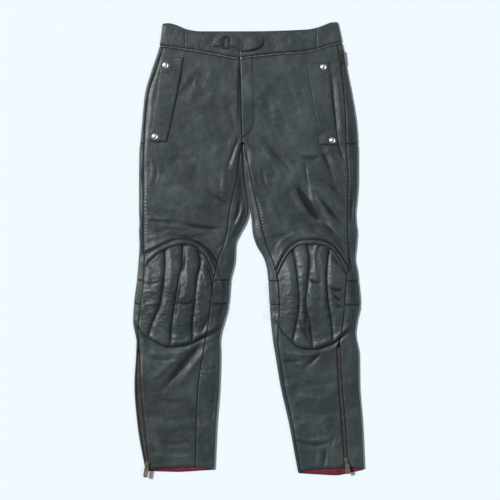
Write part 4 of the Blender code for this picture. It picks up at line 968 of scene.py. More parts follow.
class Wardrobe:
    """All finishes, one for each slot, with the thread beside them."""

    def __init__(self) -> None:
        """Build the shared groups and every material once."""
        grain, mottle = grain_group(), mottle_group()
        finishes = {
            Slot.LINING: ClothFinish("lining_crimson", (0.15, 0.004, 0.018), (0.075, 0.002, 0.009)),
            Slot.ELASTIC: ClothFinish("elastic_black", (0.02, 0.02, 0.021), (0.008, 0.008, 0.008)),
            Slot.TAPE: ClothFinish("zip_tape_black", (0.018, 0.018, 0.02), (0.006, 0.006, 0.007)),
            Slot.TEETH: MetalFinish("zip_teeth_silver", (0.62, 0.62, 0.60), (0.34, 0.33, 0.31)),
            Slot.SNAP: MetalFinish("snap_silver", (0.78, 0.78, 0.77), (0.42, 0.41, 0.39), 0.34),
            Slot.BRASS: MetalFinish("slider_brass", (0.60, 0.55, 0.44), (0.26, 0.22, 0.16), 0.30),
            Slot.BUCKLE: MetalFinish("buckle_black", (0.014, 0.014, 0.015), (0.03, 0.03, 0.032), 0.3, 0.0),
        }
        self.by_slot = {slot: finish.build(mottle) for slot, finish in finishes.items()}
        self.by_slot[Slot.LEATHER] = LeatherFinish().build(grain, mottle)
        self.thread = ClothFinish("thread_slate", (0.030, 0.036, 0.038), (0.016, 0.020, 0.021)).build(mottle)

    def dress(self, piece: bpy.types.Object, slot: Slot, body: str = BODY) -> bpy.types.Object:
        """Give a piece its slot's finish and the body that it moves with."""
        piece.data.materials.clear()
        piece.data.materials.append(self.by_slot[slot])
        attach(piece, body)
        return piece

    def dress_nodes(self) -> None:
        """Give the metal and hard solids that stay their finishes."""
        kept = {
            "strap_buckle": Slot.BUCKLE, "zip_stop": Slot.SNAP, "ankle_slider_r": Slot.BRASS,
            "ankle_slider_l": Slot.BRASS, "ankle_pull_r": Slot.BRASS, "ankle_pull_l": Slot.BRASS,
        }
        for name, slot in kept.items():
            node = bpy.data.objects.get(name)
            for place in node.material_slots:
                place.material = self.by_slot[slot]


class Placement:
    """The shift between the pattern's tables and the model's own middle."""

    def __init__(self) -> None:
        """Measure it at a snap, whose place is in both."""
        lo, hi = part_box("snap_r1")
        self.x = 0.5 * (lo[0] + hi[0]) / MM - SNAPS["r"][0][0]
        self.y = 0.5 * (lo[1] + hi[1]) / MM - SNAPS["r"][0][1]


PLACE = Placement()


class Surface(NamedTuple):
    """Where a panel's outer face lies, which way it faces, and how far its edges are."""

    x: Array
    y: Array
    z: Array
    face_x: Array
    face_z: Array
    wear_and_painted_light: Array
    cast: Array
    crinkle: Array
    gaps: tuple[Array, Array, Array, Array]


@dataclass
class Panel:
    """A closed wall of leather or cloth, shaped from a flat slab of cells.

    Seams and topstitches are weights for the first, last, top and foot edge; the seam weights also paint
    shade along each edge.
    """

    name: str
    wall: float = WALL
    roll: float = 1.15
    roll_width: float = 1.5
    dark: float = 0.9
    dark_width: float = 1.9
    seams: tuple[float, float, float, float] = (1.0, 1.0, 1.0, 1.0)
    stitched: tuple[float, float, float, float] = (0.0, 0.0, 0.0, 0.0)
    stitch_inset: float = 3.4

    def slab(self, columns: int, rows: int) -> bpy.types.Mesh:
        """Make a unit slab of cells, its outer face at one and its inner at zero."""
        bm = bmesh.new()
        bmesh.ops.create_grid(bm, x_segments=columns, y_segments=rows, size=0.5)
        raised = bmesh.ops.extrude_face_region(bm, geom=bm.faces[:], use_keep_orig=True)
        upper = [item for item in raised["geom"] if isinstance(item, bmesh.types.BMVert)]
        bmesh.ops.translate(bm, vec=(0.0, 0.0, 1.0), verts=upper)
        bmesh.ops.recalc_face_normals(bm, faces=bm.faces[:])
        mesh = bpy.data.meshes.new(self.name)
        bm.to_mesh(mesh)
        bm.free()
        return mesh

    def build(self, shape: Callable, across: Array, along: Array) -> bpy.types.Object:
        """Shape the slab.

        Args:
            shape: takes places across and along and gives a Surface.
            across: the columns' places.
            along: the rows' shares, from the top down.

        Returns:
            The finished panel.
        """
        columns, rows = len(across) - 1, len(along) - 1
        mesh = self.slab(columns, rows)
        count = len(mesh.vertices)
        co = np.empty(count * 3)
        mesh.vertices.foreach_get("co", co)
        co = co.reshape(-1, 3)
        u = np.interp((co[:, 0] + 0.5) * columns, np.arange(columns + 1), across)
        v = np.interp((0.5 - co[:, 1]) * rows, np.arange(rows + 1), along)
        face = shape(u, v)
        drop, shade = np.zeros(count), np.zeros(count)
        for gap, seam, stitched in zip(face.gaps, self.seams, self.stitched):
            gap = np.abs(gap)
            drop = np.maximum(drop, self.roll * max(seam, 0.5) * np.exp(-(gap / self.roll_width) ** 2))
            inset = gap - self.stitch_inset
            drop = drop + stitched * (0.34 * np.exp(-(inset / 0.8) ** 2)
                                      - 0.30 * np.exp(-((inset - 2.6) / 1.9) ** 2))
            # Painted shade along seamed edges, partly the seams' own dark; stitch lines darken too.
            shade = np.maximum(shade, seam * np.exp(-(gap / self.dark_width) ** 2))
            shade = np.maximum(shade, 0.38 * stitched * np.exp(-(inset / 0.9) ** 2))
        drop = np.minimum(drop, 0.78 * self.wall)
        depth = np.where(co[:, 2] > 0.5, drop, self.wall)
        places = np.stack((face.x - face.face_x * depth + PLACE.x, face.y + PLACE.y,
                           face.z - face.face_z * depth), 1)
        mesh.vertices.foreach_set("co", (places * MM).ravel())
        # Painted shade: seam edges, crease troughs and dark patches darken the colour through the seam
        # attribute.
        shade = np.maximum(self.dark * shade, np.clip(-1.25 * face.wear_and_painted_light - 0.08, 0.0, 0.88))
        marks = {"wear_and_painted_light": face.wear_and_painted_light, "seam": shade, "cast": face.cast, "crinkle": face.crinkle}
        for name, values in marks.items():
            values = np.clip(values + np.zeros(count), 0.0, 1.0).astype(np.float32)
            mesh.attributes.new(name, "FLOAT", "POINT").data.foreach_set("value", values)
        mesh.update()
        return finish_mesh(self.name, mesh)


def finish_mesh(name: str, mesh: bpy.types.Mesh) -> bpy.types.Object:
    """Face a closed mesh outwards, smooth it and make its object."""
    bm = bmesh.new()
    bm.from_mesh(mesh)
    bmesh.ops.recalc_face_normals(bm, faces=bm.faces[:])
    bm.to_mesh(mesh)
    bm.free()
    mesh.shade_smooth()
    mesh.set_sharp_from_angle(angle=math.radians(60.0))
    piece = bpy.data.objects.new(name, mesh)
    bpy.context.scene.collection.objects.link(piece)
    return piece


def declare_sheet(piece: bpy.types.Object) -> None:
    """Work out what size of leather or cloth a laid panel was cut from; the size is not kept.

    Args:
        piece: the panel.
    """
    area = sum(face.area for face in piece.data.polygons) / 2.0
    places = np.array([v.co[:] for v in piece.data.vertices])
    width, length = (float(places[:, k].max() - places[:, k].min()) for k in (0, 1))
    if area < 0.4 * width * length:
        length = 1.4 * area / width


def cells(length: float, size: float, edge: Sequence[float] = (0.0, 0.5, 1.1, 1.8, 2.8, 4.0)) -> Array:
    """Shares of a length, closer together at both ends.

    Args:
        length: the length in millimetres.
        size: the cell's size between the ends.
        edge: the first places in from each end.

    Returns:
        Shares from 0 to 1.
    """
    if length < 3.0 * edge[-1]:
        return np.linspace(0.0, 1.0, max(4, int(length / size)) + 1)
    count = max(1, round((length - 2.0 * edge[-1]) / size))
    inner = np.linspace(edge[-1], length - edge[-1], count + 1)[1:-1]
    first = np.array(edge)
    return np.concatenate((first, inner, (length - first)[::-1])) / length


def square_gap(line: Line1D, x: Array, y: Array) -> Array:
    """Return the distance from a line of y, square to it."""
    slope = np.clip(line(x + 0.5) - line(x - 0.5), -3.0, 3.0)
    return (line(x) - y) / np.sqrt(1.0 + slope * slope)


def aside(line: Line1D, by: float) -> Line1D:
    """Return a line moved square to itself."""
    def moved(at: Array) -> Array:
        """Return the moved line's value."""
        slope = np.clip(line(at + 0.5) - line(at - 0.5), -3.0, 3.0)
        return line(at) + by * np.sqrt(1.0 + slope * slope)
    return moved


@dataclass
class FrontPiece:
    """A panel of the front between two of the leg's column lines."""

    name: str
    leg: LegShape
    first: int
    last: int
    top: Line1D
    foot: Line1D
    cell: float = 2.1
    cast: float = 0.0

    def surface(self, u: Array, v: Array) -> Surface:
        """Lay the panel out."""
        leg, half = self.leg, 0.5 * SEAM
        number = self.first + (self.last - self.first) * u
        inset = half * (1.0 - u) * (self.first > 0) - half * u * (self.last < 16)
        x = np.full(u.shape, leg.knee_x)
        y = lerp(self.top(x), self.foot(x), v)
        for _ in range(14):
            x = leg.column(number, y) + inset
            y = 0.5 * y + 0.5 * lerp(self.top(x), self.foot(x), v)
        x = leg.column(number, y) + inset
        z, wear_and_painted_light = leg.relief(x, y)
        near = x - leg.column(np.full(u.shape, float(self.first)), y)
        far = leg.column(np.full(u.shape, float(self.last)), y) - x
        gaps = (near, far, square_gap(self.top, x, y), -square_gap(self.foot, x, y))
        flat = 0.0 * x
        # Adds the soft patches' painted shade and painted light to the colour mark.
        wear_and_painted_light = wear_and_painted_light + leg.shade(x, y)
        return Surface(x, y, z, flat, flat + 1.0, wear_and_painted_light, flat + self.cast, leg.crinkle(x, y), gaps)

    def build(self, panel: Panel) -> bpy.types.Object:
        """Build it with a panel's seams and stitches."""
        middle = self.leg.knee_x
        length = float(self.top(np.array([middle]))[0] - self.foot(np.array([middle]))[0])
        y = np.array([0.5 * float((self.top(np.array([middle])) + self.foot(np.array([middle])))[0])])
        width = float((self.leg.column(np.array([float(self.last)]), y)
                       - self.leg.column(np.array([float(self.first)]), y))[0])
        return panel.build(self.surface, cells(width, self.cell), cells(length, self.cell))


@dataclass
class TubePiece:
    """A back panel: from the front's side seam round the leg's edge and along the floor."""

    name: str
    leg: LegShape
    seam: Line1D
    far: Line1D
    closed: bool
    top: tuple[Line1D, Line1D]
    foot: tuple[Line1D, Line1D]
    cell: float = 3.4
    cast: float = 0.0

    def section(self, u: Array, y: Array) -> tuple[Array, ...]:
        """Go round the cross-section.

        Args:
            u: whole numbers part front strip, round, floor, round and inner strip.
            y: levels.

        Returns:
            Place across, height (nought on the front), the way it faces, and how far behind.
        """
        side, r = self.leg.side, EDGE_RADIUS
        start = self.leg.outer(y) - side * r
        far = self.far(y)
        end = far + side * r if self.closed else far
        part = np.clip(np.floor(u).astype(int), 0, 4 if self.closed else 2)
        t = u - part
        x = lerp(self.seam(y), start, t)
        z, face_x, face_z, behind = 0.0 * x, 0.0 * x, 0.0 * x + 1.0, 0.0 * x
        for number, centre, way in ((1, start, side), (3, end, -side)):
            on = part == number
            turn = t if number == 1 else 1.0 - t
            angle = np.pi * (0.5 - turn)
            x = np.where(on, centre + way * r * np.cos(angle), x)
            z = np.where(on, r * (1.0 + np.sin(angle)), z)
            face_x = np.where(on, way * np.cos(angle), face_x)
            face_z = np.where(on, np.sin(angle), face_z)
            behind = np.where(on, turn, behind)
        on = part == 2
        x = np.where(on, lerp(start, end, t), x)
        face_z = np.where(on, -1.0, face_z)
        behind = np.where(on, 1.0, behind)
        inner = self.leg.inner_seam(y) - side * SIDE_HALF
        x = np.where(part == 4, lerp(end, inner, t), x)
        return x, z, face_x, face_z, behind, part

    def surface(self, u: Array, v: Array) -> Surface:
        """Lay the panel out round the leg."""
        leg = self.leg
        middle = np.full(u.shape, leg.knee_x)
        y = lerp(self.top[0](middle), self.foot[0](middle), v)
        for _ in range(12):
            x, _, _, _, behind, _ = self.section(u, y)
            top = lerp(self.top[0](x), self.top[1](x), behind)
            foot = lerp(self.foot[0](x), self.foot[1](x), behind)
            y = lerp(y, lerp(top, foot, v), 0.8)
        x, z, face_x, face_z, behind, part = self.section(u, y)
        front = (part == 0) | (part == 4)
        wear_and_painted_light = 0.0 * x
        z[front], wear_and_painted_light[front] = leg.relief(x[front], y[front])
        away = 0.0 * x + 99.0
        first = np.where(part == 0, x - self.seam(y), away)
        last = np.where(part == 4, leg.inner_seam(y) - x, away)
        if not self.closed:
            last = np.where(part == 2, self.far(y) - x, away)
        gaps = (first, last, top - y, y - foot)
        cast = self.cast * (behind < 0.9) * (part < 2)
        # Adds the soft patches' painted shade and painted light on the front strips.
        wear_and_painted_light = wear_and_painted_light + leg.shade(x, y) * front
        return Surface(x, y, z, face_x, face_z, wear_and_painted_light, cast, leg.crinkle(x, y), gaps)

    def build(self, panel: Panel) -> bpy.types.Object:
        """Build it with a panel's seams and stitches."""
        middle = np.array([self.leg.knee_x])
        length = float((self.top[0](middle) - self.foot[0](middle))[0])
        y = 0.5 * (self.top[0](middle) + self.foot[0](middle))
        side, r = self.leg.side, EDGE_RADIUS
        start = float((self.leg.outer(y) - side * r)[0])
        floor = abs(float(self.far(y)[0]) - start)
        strip = abs(start - float(self.seam(y)[0]))
        parts = [cells(strip, 1.6), np.linspace(0.0, 1.0, 11), cells(floor, self.cell, (0.0, 1.0, 2.2, 4.0))]
        if self.closed:
            inner = abs(float((self.leg.inner_seam(y) - self.far(y))[0])) - r
            parts += [np.linspace(0.0, 1.0, 11), cells(max(inner, 1.0), 1.6)]
        across = [parts[0]] + [number + part[1:] for number, part in enumerate(parts[1:], start=1)]
        return panel.build(self.surface, np.concatenate(across), cells(length, self.cell))


@dataclass
class GridPiece:
    """A panel between two lines of x and two lines of y, lying on some ground."""

    name: str
    left: Line1D
    right: Line1D
    top: Line1D
    foot: Line1D
    ground: Callable[[Array, Array], tuple[Array, Array]]
    cell: float = 1.2

    def surface(self, u: Array, v: Array) -> Surface:
        """Lay the panel out."""
        zero = np.zeros(1)
        middle = 0.5 * (self.left(zero) + self.right(zero))
        y = lerp(self.top(middle), self.foot(middle), v)
        for _ in range(14):
            x = lerp(self.left(y), self.right(y), u)
            y = 0.5 * y + 0.5 * lerp(self.top(x), self.foot(x), v)
        x = lerp(self.left(y), self.right(y), u)
        z, wear_and_painted_light = self.ground(x, y)
        gaps = (x - self.left(y), self.right(y) - x, square_gap(self.top, x, y),
                -square_gap(self.foot, x, y))
        flat = 0.0 * x
        return Surface(x, y, z, flat, flat + 1.0, wear_and_painted_light, flat, flat + 0.7, gaps)

    def build(self, panel: Panel) -> bpy.types.Object:
        """Build it with a panel's seams and stitches."""
        zero = np.zeros(1)
        middle = 0.5 * (self.left(zero) + self.right(zero))
        length = float((self.top(middle) - self.foot(middle))[0])
        y = 0.5 * (self.top(middle) + self.foot(middle))
        width = float((self.right(y) - self.left(y))[0])
        return panel.build(self.surface, cells(width, self.cell), cells(length, self.cell))


class StitchBook:
    """Every row of stitches of one part, kept for one mesh."""

    def __init__(self, name: str) -> None:
        """Start with no rows."""
        self.name = name
        self.bm = bmesh.new()

    def sew(self, places: Array, height: Callable[[Array, Array], Array], pitch: float = 3.4,
            length: float = 2.5, radius: float = 0.33) -> None:
        """Sew a row of stitches.

        Args:
            places: points in plan along the row.
            height: gives the leather's height at places.
            pitch: from one stitch to the next.
            length: one stitch's length.
            radius: half the thread's thickness.
        """
        places = np.asarray(places, dtype=float)
        run = np.concatenate(([0.0], np.cumsum(np.hypot(*np.diff(places, axis=0).T))))
        middles = np.arange(0.5 * pitch, run[-1] - 0.4 * pitch, pitch)
        ends = []
        for shift in (-0.5 * length, 0.5 * length):
            x = np.interp(middles + shift, run, places[:, 0])
            y = np.interp(middles + shift, run, places[:, 1])
            ends.append(np.stack((x + PLACE.x, y + PLACE.y, height(x, y)), 1))
        for start, end in zip(*ends):
            way = Vector(end - start)
            turn = way.to_track_quat("X", "Z").to_matrix().to_4x4()
            middle = Matrix.Translation(Vector(0.5 * (start + end)) * MM)
            size = Matrix.Diagonal((0.5 * length * MM, radius * MM, 0.8 * radius * MM, 1.0))
            bmesh.ops.create_icosphere(self.bm, subdivisions=1, radius=1.0, matrix=middle @ turn @ size)

    def close(self, wardrobe: Wardrobe) -> bpy.types.Object:
        """Make the rows one piece of thread."""
        mesh = bpy.data.meshes.new(self.name)
        self.bm.to_mesh(mesh)
        self.bm.free()
        piece = finish_mesh(self.name, mesh)
        wardrobe.dress(piece, Slot.LEATHER)
        piece.data.materials[0] = wardrobe.thread
        return piece


def row_along(line: Line1D, start: float, end: float, inset: float, across: bool) -> Array:
    """Points of a row that follows a line at a distance.

    Args:
        line: gives y at x where across is true, and x at y where it isn't.
        start: where the row starts.
        end: where it ends.
        inset: distance from the line, towards higher values.
        across: whether the row runs across.

    Returns:
        Points in plan.
    """
    at = np.linspace(start, end, max(8, int(abs(end - start) / 2.5)))
    value = aside(line, inset)(at)
    return np.stack((at, value) if across else (value, at), 1)


@dataclass
class LegLeather:
    """All leather of one leg with its half of the seat."""

    leg: LegShape
    wardrobe: Wardrobe
    stitches: StitchBook
    cast: float = 0.0

    def keep(self, piece: bpy.types.Object, node: str) -> None:
        """Dress a panel and let it stand for its solid."""
        self.wardrobe.dress(piece, Slot.LEATHER)
        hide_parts(node)
        declare_sheet(piece)

    def top_height(self, drop: float = 0.25) -> Callable[[Array, Array], Array]:
        """Return the front's height for stitches, a little sunk."""
        return lambda x, y: self.leg.relief(x, y)[0] - drop

    def build_backs(self) -> None:
        """Build the seat, thigh, knee and calf of the back."""
        leg, side, tag, half = self.leg, self.leg.side, self.leg.tag, 0.5 * SEAM
        seam = shifted(leg.seam, side * SIDE_HALF)

        def calf_seam(y: Array) -> Array:
            """Return the calf's front edge: the seam, then the zip."""
            share = np.clip((y - leg.zip_top) / ZIP_SPREAD, 0.0, 1.0)
            return lerp(leg.zip_outer(y), leg.seam(y), share) + side * SIDE_HALF

        knee_top, knee_foot = KNEE_PANEL[tag]
        crotch = level(CROTCH_Y)
        seat = TubePiece(f"leather_back_seat_{tag}", leg, seam, shifted(BACK_CENTRE_LINE, side * half), False,
                         (shifted(WAIST_SEAM_LINE, -HALF_ZIP), shifted(WAIST_BACK_LINE, -half)),
                         (shifted(crotch, half), shifted(crotch, half)), cast=self.cast)
        self.keep(seat.build(Panel(seat.name)), f"back_seat_{tag}")
        ends = [(CROTCH_Y - half, knee_top + half), (knee_top - half, knee_foot + half)]
        for (top, foot), part in zip(ends, ("thigh", "knee")):
            lines = (level(top), level(top)), (level(foot), level(foot))
            tube = TubePiece(f"leather_back_{part}_{tag}", leg, seam, leg.inner_edge, True, *lines,
                             cast=self.cast)
            self.keep(tube.build(Panel(tube.name)), f"back_{part}_{tag}")
        calf = TubePiece(f"leather_back_calf_{tag}", leg, calf_seam, leg.inner_edge, True,
                         (level(knee_foot - half), level(knee_foot - half)), (leg.hem_front, leg.hem_back))
        self.keep(calf.build(Panel(calf.name, seams=(1.0, 1.0, 1.0, 0.3))), f"back_calf_{tag}")

    def build_fronts(self) -> None:
        """Build the thigh, the knee's rim and gores, and the shin."""
        leg, tag, half = self.leg, self.leg.tag, 0.5 * SEAM
        top = shifted(WAIST_SEAM_LINE, -HALF_ZIP)
        thigh = FrontPiece(f"leather_front_thigh_{tag}", leg, 0, 16, top, aside(leg.rim_top, half))
        panel = Panel(thigh.name, stitched=(0.0, 0.0, 1.0, 0.9))
        self.keep(thigh.build(panel), f"front_thigh_{tag}")
        rim = FrontPiece(f"leather_knee_rim_{tag}", leg, 0, 16, aside(leg.rim_top, -half),
                         aside(leg.rim_foot, half), 1.3)
        self.keep(rim.build(Panel(rim.name, stitched=(0.0, 0.0, 0.0, 0.8))), f"knee_rim_{tag}")
        for number in range(4):
            gore = FrontPiece(f"leather_knee_gore_{tag}{number + 1}", leg, 4 * number, 4 * number + 4,
                              aside(leg.rim_foot, -half), aside(leg.knee_foot, half), 1.7)
            self.keep(gore.build(Panel(gore.name)), f"knee_gore_{tag}{number + 1}")
        shin = FrontPiece(f"leather_shin_front_{tag}", leg, 0, 16, aside(leg.knee_foot, -half), leg.hem_front)
        panel = Panel(shin.name, seams=(1.0, 1.0, 1.0, 0.35), stitched=(0.0, 0.0, 0.8, 1.0))
        self.keep(shin.build(panel), f"shin_front_{tag}")

    def build_waistband(self) -> None:
        """Build the front and the back of the waistband."""
        leg, side, tag, half = self.leg, self.leg.side, self.leg.tag, 0.5 * SEAM
        split = BAND_SPLIT[tag]
        middle = float(leg.inner_seam(np.array([480.0]))[0])
        ends = sorted((split - side * half, middle + side * half))
        front = GridPiece(f"leather_waistband_front_{tag}", level(ends[0]), level(ends[1]), BAND_FRONT_LINE,
                          shifted(WAIST_SEAM_LINE, HALF_ZIP), leg.relief, 1.5)
        panel = Panel(front.name, seams=(0.6, 0.6, 0.2, 1.0), stitched=(0.3, 0.3, 1.0, 0.8))
        self.keep(front.build(panel), f"waistband_front_{tag}")
        back = TubePiece(f"leather_waistband_back_{tag}", leg, level(split + side * half),
                         shifted(BACK_CENTRE_LINE, side * half), False, (BAND_FRONT_LINE, BAND_BACK_LINE),
                         (shifted(WAIST_SEAM_LINE, HALF_ZIP), shifted(WAIST_BACK_LINE, half)), 2.6)
        panel = Panel(back.name, seams=(0.6, 1.0, 0.2, 1.0), stitched=(0.3, 0.0, 1.0, 0.8))
        self.keep(back.build(panel), f"waistband_back_{tag}")

    def build_lining(self) -> None:
        """Build the lining turned in at the hem."""
        leg, side, tag = self.leg, self.leg.side, self.leg.tag
        reach = EDGE_RADIUS + LINING_SIDE
        lines = [shifted(leg.outer, -side * reach), shifted(leg.inner_edge, side * reach)]
        left, right = lines if side < 0 else lines[::-1]

        def ground(x: Array, y: Array) -> tuple[Array, Array]:
            """Return the lining's height above the back panel's inside."""
            wave = 0.35 * np.sin(x / 5.3 + 1.4 * np.sin(x / 17.0))
            return WALL + LAY_GAP + THIN_WALL + 0.35 + wave, 0.0 * x

        grid = GridPiece(f"lining_hem_{tag}", left, right, shifted(leg.hem_back, LINING_DEPTH),
                         shifted(leg.hem_back, 1.4), ground, 2.0)
        piece = grid.build(Panel(grid.name, wall=THIN_WALL, roll=0.4, dark=0.0))
        self.wardrobe.dress(piece, Slot.LINING)
        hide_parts(f"hem_lining_{tag}")
        declare_sheet(piece)

    def sew(self) -> None:
        """Sew the rows that show on the front."""
        leg, height = self.leg, self.top_height()
        low, high = float(leg.zip_top) + ZIP_SPREAD, CROTCH_Y + 200.0
        ends = sorted((leg.outer(np.array([0.0]))[0], leg.inner_edge(np.array([0.0]))[0]))
        ends = (ends[0] + 9.0, ends[1] - 9.0)
        self.stitches.sew(row_along(leg.rim_top, *ends, 3.4, True), height)
        self.stitches.sew(row_along(leg.rim_foot, *ends, 3.4, True), height)
        self.stitches.sew(row_along(leg.knee_foot, *ends, -3.4, True), height)
        split = BAND_SPLIT[leg.tag]
        waist = sorted((float(leg.outer(np.array([470.0]))[0]) - leg.side * 8.0,
                        float(leg.inner_seam(np.array([470.0]))[0]) + leg.side * 8.0))
        self.stitches.sew(row_along(WAIST_SEAM_LINE, *waist, -HALF_ZIP - 3.4, True), height)
        band = sorted((split, waist[1] if leg.side < 0 else waist[0]))
        self.stitches.sew(row_along(WAIST_SEAM_LINE, *band, HALF_ZIP + 3.4, True), height)
        self.stitches.sew(row_along(BAND_FRONT_LINE, *band, -3.4, True), height)
        foot = sorted((float(leg.outer(np.array([-500.0]))[0]) - leg.side * 14.0,
                       float(leg.inner_edge(np.array([-500.0]))[0]) + leg.side * 9.0))
        self.stitches.sew(row_along(leg.hem_front, *foot, 3.4, True), height)
        self.stitches.sew(row_along(leg.hem_front, *foot, 24.0, True), height)
        run = (float(leg.rim_top(np.array([leg.seam(np.array([0.0]))[0]]))[0]) + 20.0, high)
        self.stitches.sew(row_along(leg.seam, *run, -leg.side * 3.6, False), height)
        if leg.side > 0:
            self.stitches.sew(np.array(FLY_STITCH), height)


def place_x(rows: Sequence) -> float:
    """Return the middle place of a table's rows."""
    return sum(row[0] for row in rows) / len(rows)


@dataclass
class PocketFlap:
    """A pocket flap with its two snaps."""

    leg: LegShape
    wardrobe: Wardrobe
    stitches: StitchBook
    outer: Sequence
    inner: Sequence
    top: Sequence
    foot: Sequence
    snap_rise: float = 3.0

    def ground(self, x: Array, y: Array, reach: float = 5.0) -> Array:
        """Return the highest leather within a short reach."""
        steps = (-reach, 0.0, reach)
        return np.maximum.reduce([self.leg.relief(x + dx, y + dy)[0] for dx in steps for dy in steps])

    def snap_foot(self, place: tuple[float, float]) -> float:
        """Return the height that a snap's rim stands at."""
        x, y = (np.array([value]) for value in place)
        return float(self.ground(x, y, 12.0)[0]) + WALL + 2.0 * LAY_GAP

    def height(self, x: Array, y: Array) -> tuple[Array, Array]:
        """Return the flap's outer face, pulled up and in at its snaps."""
        z = self.ground(x, y) + LAY_GAP + WALL
        for place in SNAPS[self.leg.tag]:
            away = np.hypot(x - place[0], y - place[1])
            z = lerp(z, self.snap_foot(place) + 0.2, np.exp(-(away / 15.0) ** 4))
            z = z - 0.9 * np.exp(-((away - SNAP_RADIUS - 0.9) / 1.4) ** 2)
        return z, 0.25 * SWELL_MIDDLE(x, y)

    def build(self) -> None:
        """Build the flap, its stitches and its snaps."""
        tag = self.leg.tag
        lines = [Line(self.outer), Line(self.inner)]
        left, right = lines if self.leg.side < 0 else lines[::-1]
        grid = GridPiece(f"leather_pocket_flap_{tag}", left, right, Line(self.top), Line(self.foot),
                         self.height, 1.3)
        # The heavier seam weight and wider dark band paint a shadow line along one side edge of the flap.
        sides = (0.35, 1.0) if self.leg.side < 0 else (1.0, 0.35)
        panel = Panel(grid.name, seams=(*sides, 0.8, 0.9), stitched=(1.0, 1.0, 0.6, 1.0), dark_width=2.6)
        piece = grid.build(panel)
        self.wardrobe.dress(piece, Slot.LEATHER)
        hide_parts(f"pocket_flap_{tag}")
        declare_sheet(piece)
        inset = 3.4

        def surface(x: Array, y: Array) -> Array:
            """Return the flap's height for its stitches."""
            return self.height(x, y)[0] - 0.3

        foot, top = float(Line(self.foot)(np.array([place_x(self.foot)]))[0]), float(
            Line(self.top)(np.array([place_x(self.top)]))[0])
        ends = (foot + 4.0, top - 4.0)
        self.stitches.sew(row_along(left, *ends, inset, False), surface)
        self.stitches.sew(row_along(right, *ends, -inset, False), surface)
        for number, place in enumerate(SNAPS[tag], start=1):
            self.build_snap(f"snap_cap_{tag}{number}", f"snap_{tag}{number}", place)

    def build_snap(self, name: str, node: str, place: tuple[float, float]) -> None:
        """Turn a snap's cap: a rolled rim round a shallow dish with a raised middle."""
        r, h = SNAP_RADIUS, self.snap_rise
        profile = ((1.0, 0.0), (1.0, 0.34), (0.97, 0.56), (0.90, 0.72), (0.82, 0.76), (0.74, 0.68),
                   (0.70, 0.58), (0.62, 0.62), (0.44, 0.82), (0.24, 0.95), (0.0, 1.0))
        bm = bmesh.new()
        points = [bm.verts.new((r * share, 0.0, h * rise)) for share, rise in profile]
        base = bm.verts.new((0.0, 0.0, 0.0))
        edges = [bm.edges.new(pair) for pair in zip([base] + points, points)]
        bmesh.ops.spin(bm, geom=[base] + points + edges, cent=(0.0, 0.0, 0.0), axis=(0.0, 0.0, 1.0),
                       angle=math.tau, steps=40, use_merge=True)
        bmesh.ops.remove_doubles(bm, verts=bm.verts[:], dist=0.001)
        spot = Vector((place[0] + PLACE.x, place[1] + PLACE.y, self.snap_foot(place)))
        bmesh.ops.transform(bm, matrix=Matrix.Scale(MM, 4) @ Matrix.Translation(spot), verts=bm.verts[:])
        mesh = bpy.data.meshes.new(name)
        bm.to_mesh(mesh)
        bm.free()
        piece = finish_mesh(name, mesh)
        self.wardrobe.dress(piece, Slot.SNAP)
        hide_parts(node)


@dataclass
class WaistFittings:
    """The strap over the fly, the loop that holds its buckle, and the ribbed elastic."""

    right: LegShape
    left: LegShape
    wardrobe: Wardrobe
    ribs: int = 5

    def ground(self, x: Array, y: Array) -> Array:
        """Return the higher of the two fronts within a short reach."""
        heights = []
        for leg in (self.right, self.left):
            for dx in (-3.0, 0.0, 3.0):
                on_leg = (x + dx - leg.inner_seam(y)) * leg.side > -2.5
                heights.append(np.where(on_leg, leg.relief(x + dx, y)[0], 0.0))
        return np.maximum.reduce(heights)

    def strap_height(self, x: Array, y: Array) -> tuple[Array, Array]:
        """Return the strap's outer face, its lower edge standing off the band."""
        drop = Line(TAB_TOP)(x) - y
        hollow = 0.6 * np.sin(x / 6.5) * smooth(drop / 14.0)
        z = self.ground(x, y) + LAY_GAP + 0.2 + WALL + 2.6 * smooth(drop / 26.0) + hollow
        return z, 0.0 * x - 0.45

    def loop_height(self, x: Array, y: Array) -> tuple[Array, Array]:
        """Return the buckle loop's outer face."""
        return self.ground(x, y) + LAY_GAP + WALL, 0.0 * x

    def elastic_height(self, x: Array, y: Array) -> tuple[Array, Array]:
        """Return the elastic's outer face, raised at each rib."""
        rib = (ELASTIC_Y[1] - y) / (ELASTIC_Y[1] - ELASTIC_Y[0]) * self.ribs
        raised = 0.35 * (1.0 - np.cos(2.0 * np.pi * rib))
        return self.left.relief(x, y)[0] + LAY_GAP + 1.5 + raised, 0.0 * x

    def build(self) -> None:
        """Build the three pieces."""
        strap = GridPiece("leather_waist_strap", level(TAB_LEFT), level(TAB_RIGHT), Line(TAB_TOP),
                          Line(TAB_FOOT), self.strap_height, 0.9)
        loop = GridPiece("leather_buckle_loop", level(HOLDER_X[0]), level(HOLDER_X[1] - 1.0),
                         level(HOLDER_Y[1]), level(HOLDER_Y[0]), self.loop_height, 0.9)
        for grid, node in ((strap, "waist_strap"), (loop, "buckle_loop")):
            piece = grid.build(Panel(grid.name, seams=(0.5, 0.5, 0.5, 0.9), stitched=(0.7, 0.7, 0.7, 0.7),
                                     stitch_inset=2.4))
            self.wardrobe.dress(piece, Slot.LEATHER)
            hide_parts(node)
            declare_sheet(piece)
        grid = GridPiece("ribbed_elastic", lambda y: ELASTIC_X[0] + 0.12 * (478.0 - y),
                         lambda y: ELASTIC_X[1] + 0.12 * (478.0 - y), level(ELASTIC_Y[1]),
                         level(ELASTIC_Y[0]), self.elastic_height, 0.8)
        piece = grid.build(Panel(grid.name, wall=1.2, roll=0.4, dark=0.0))
        self.wardrobe.dress(piece, Slot.ELASTIC)
        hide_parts("side_elastic")
        declare_sheet(piece)


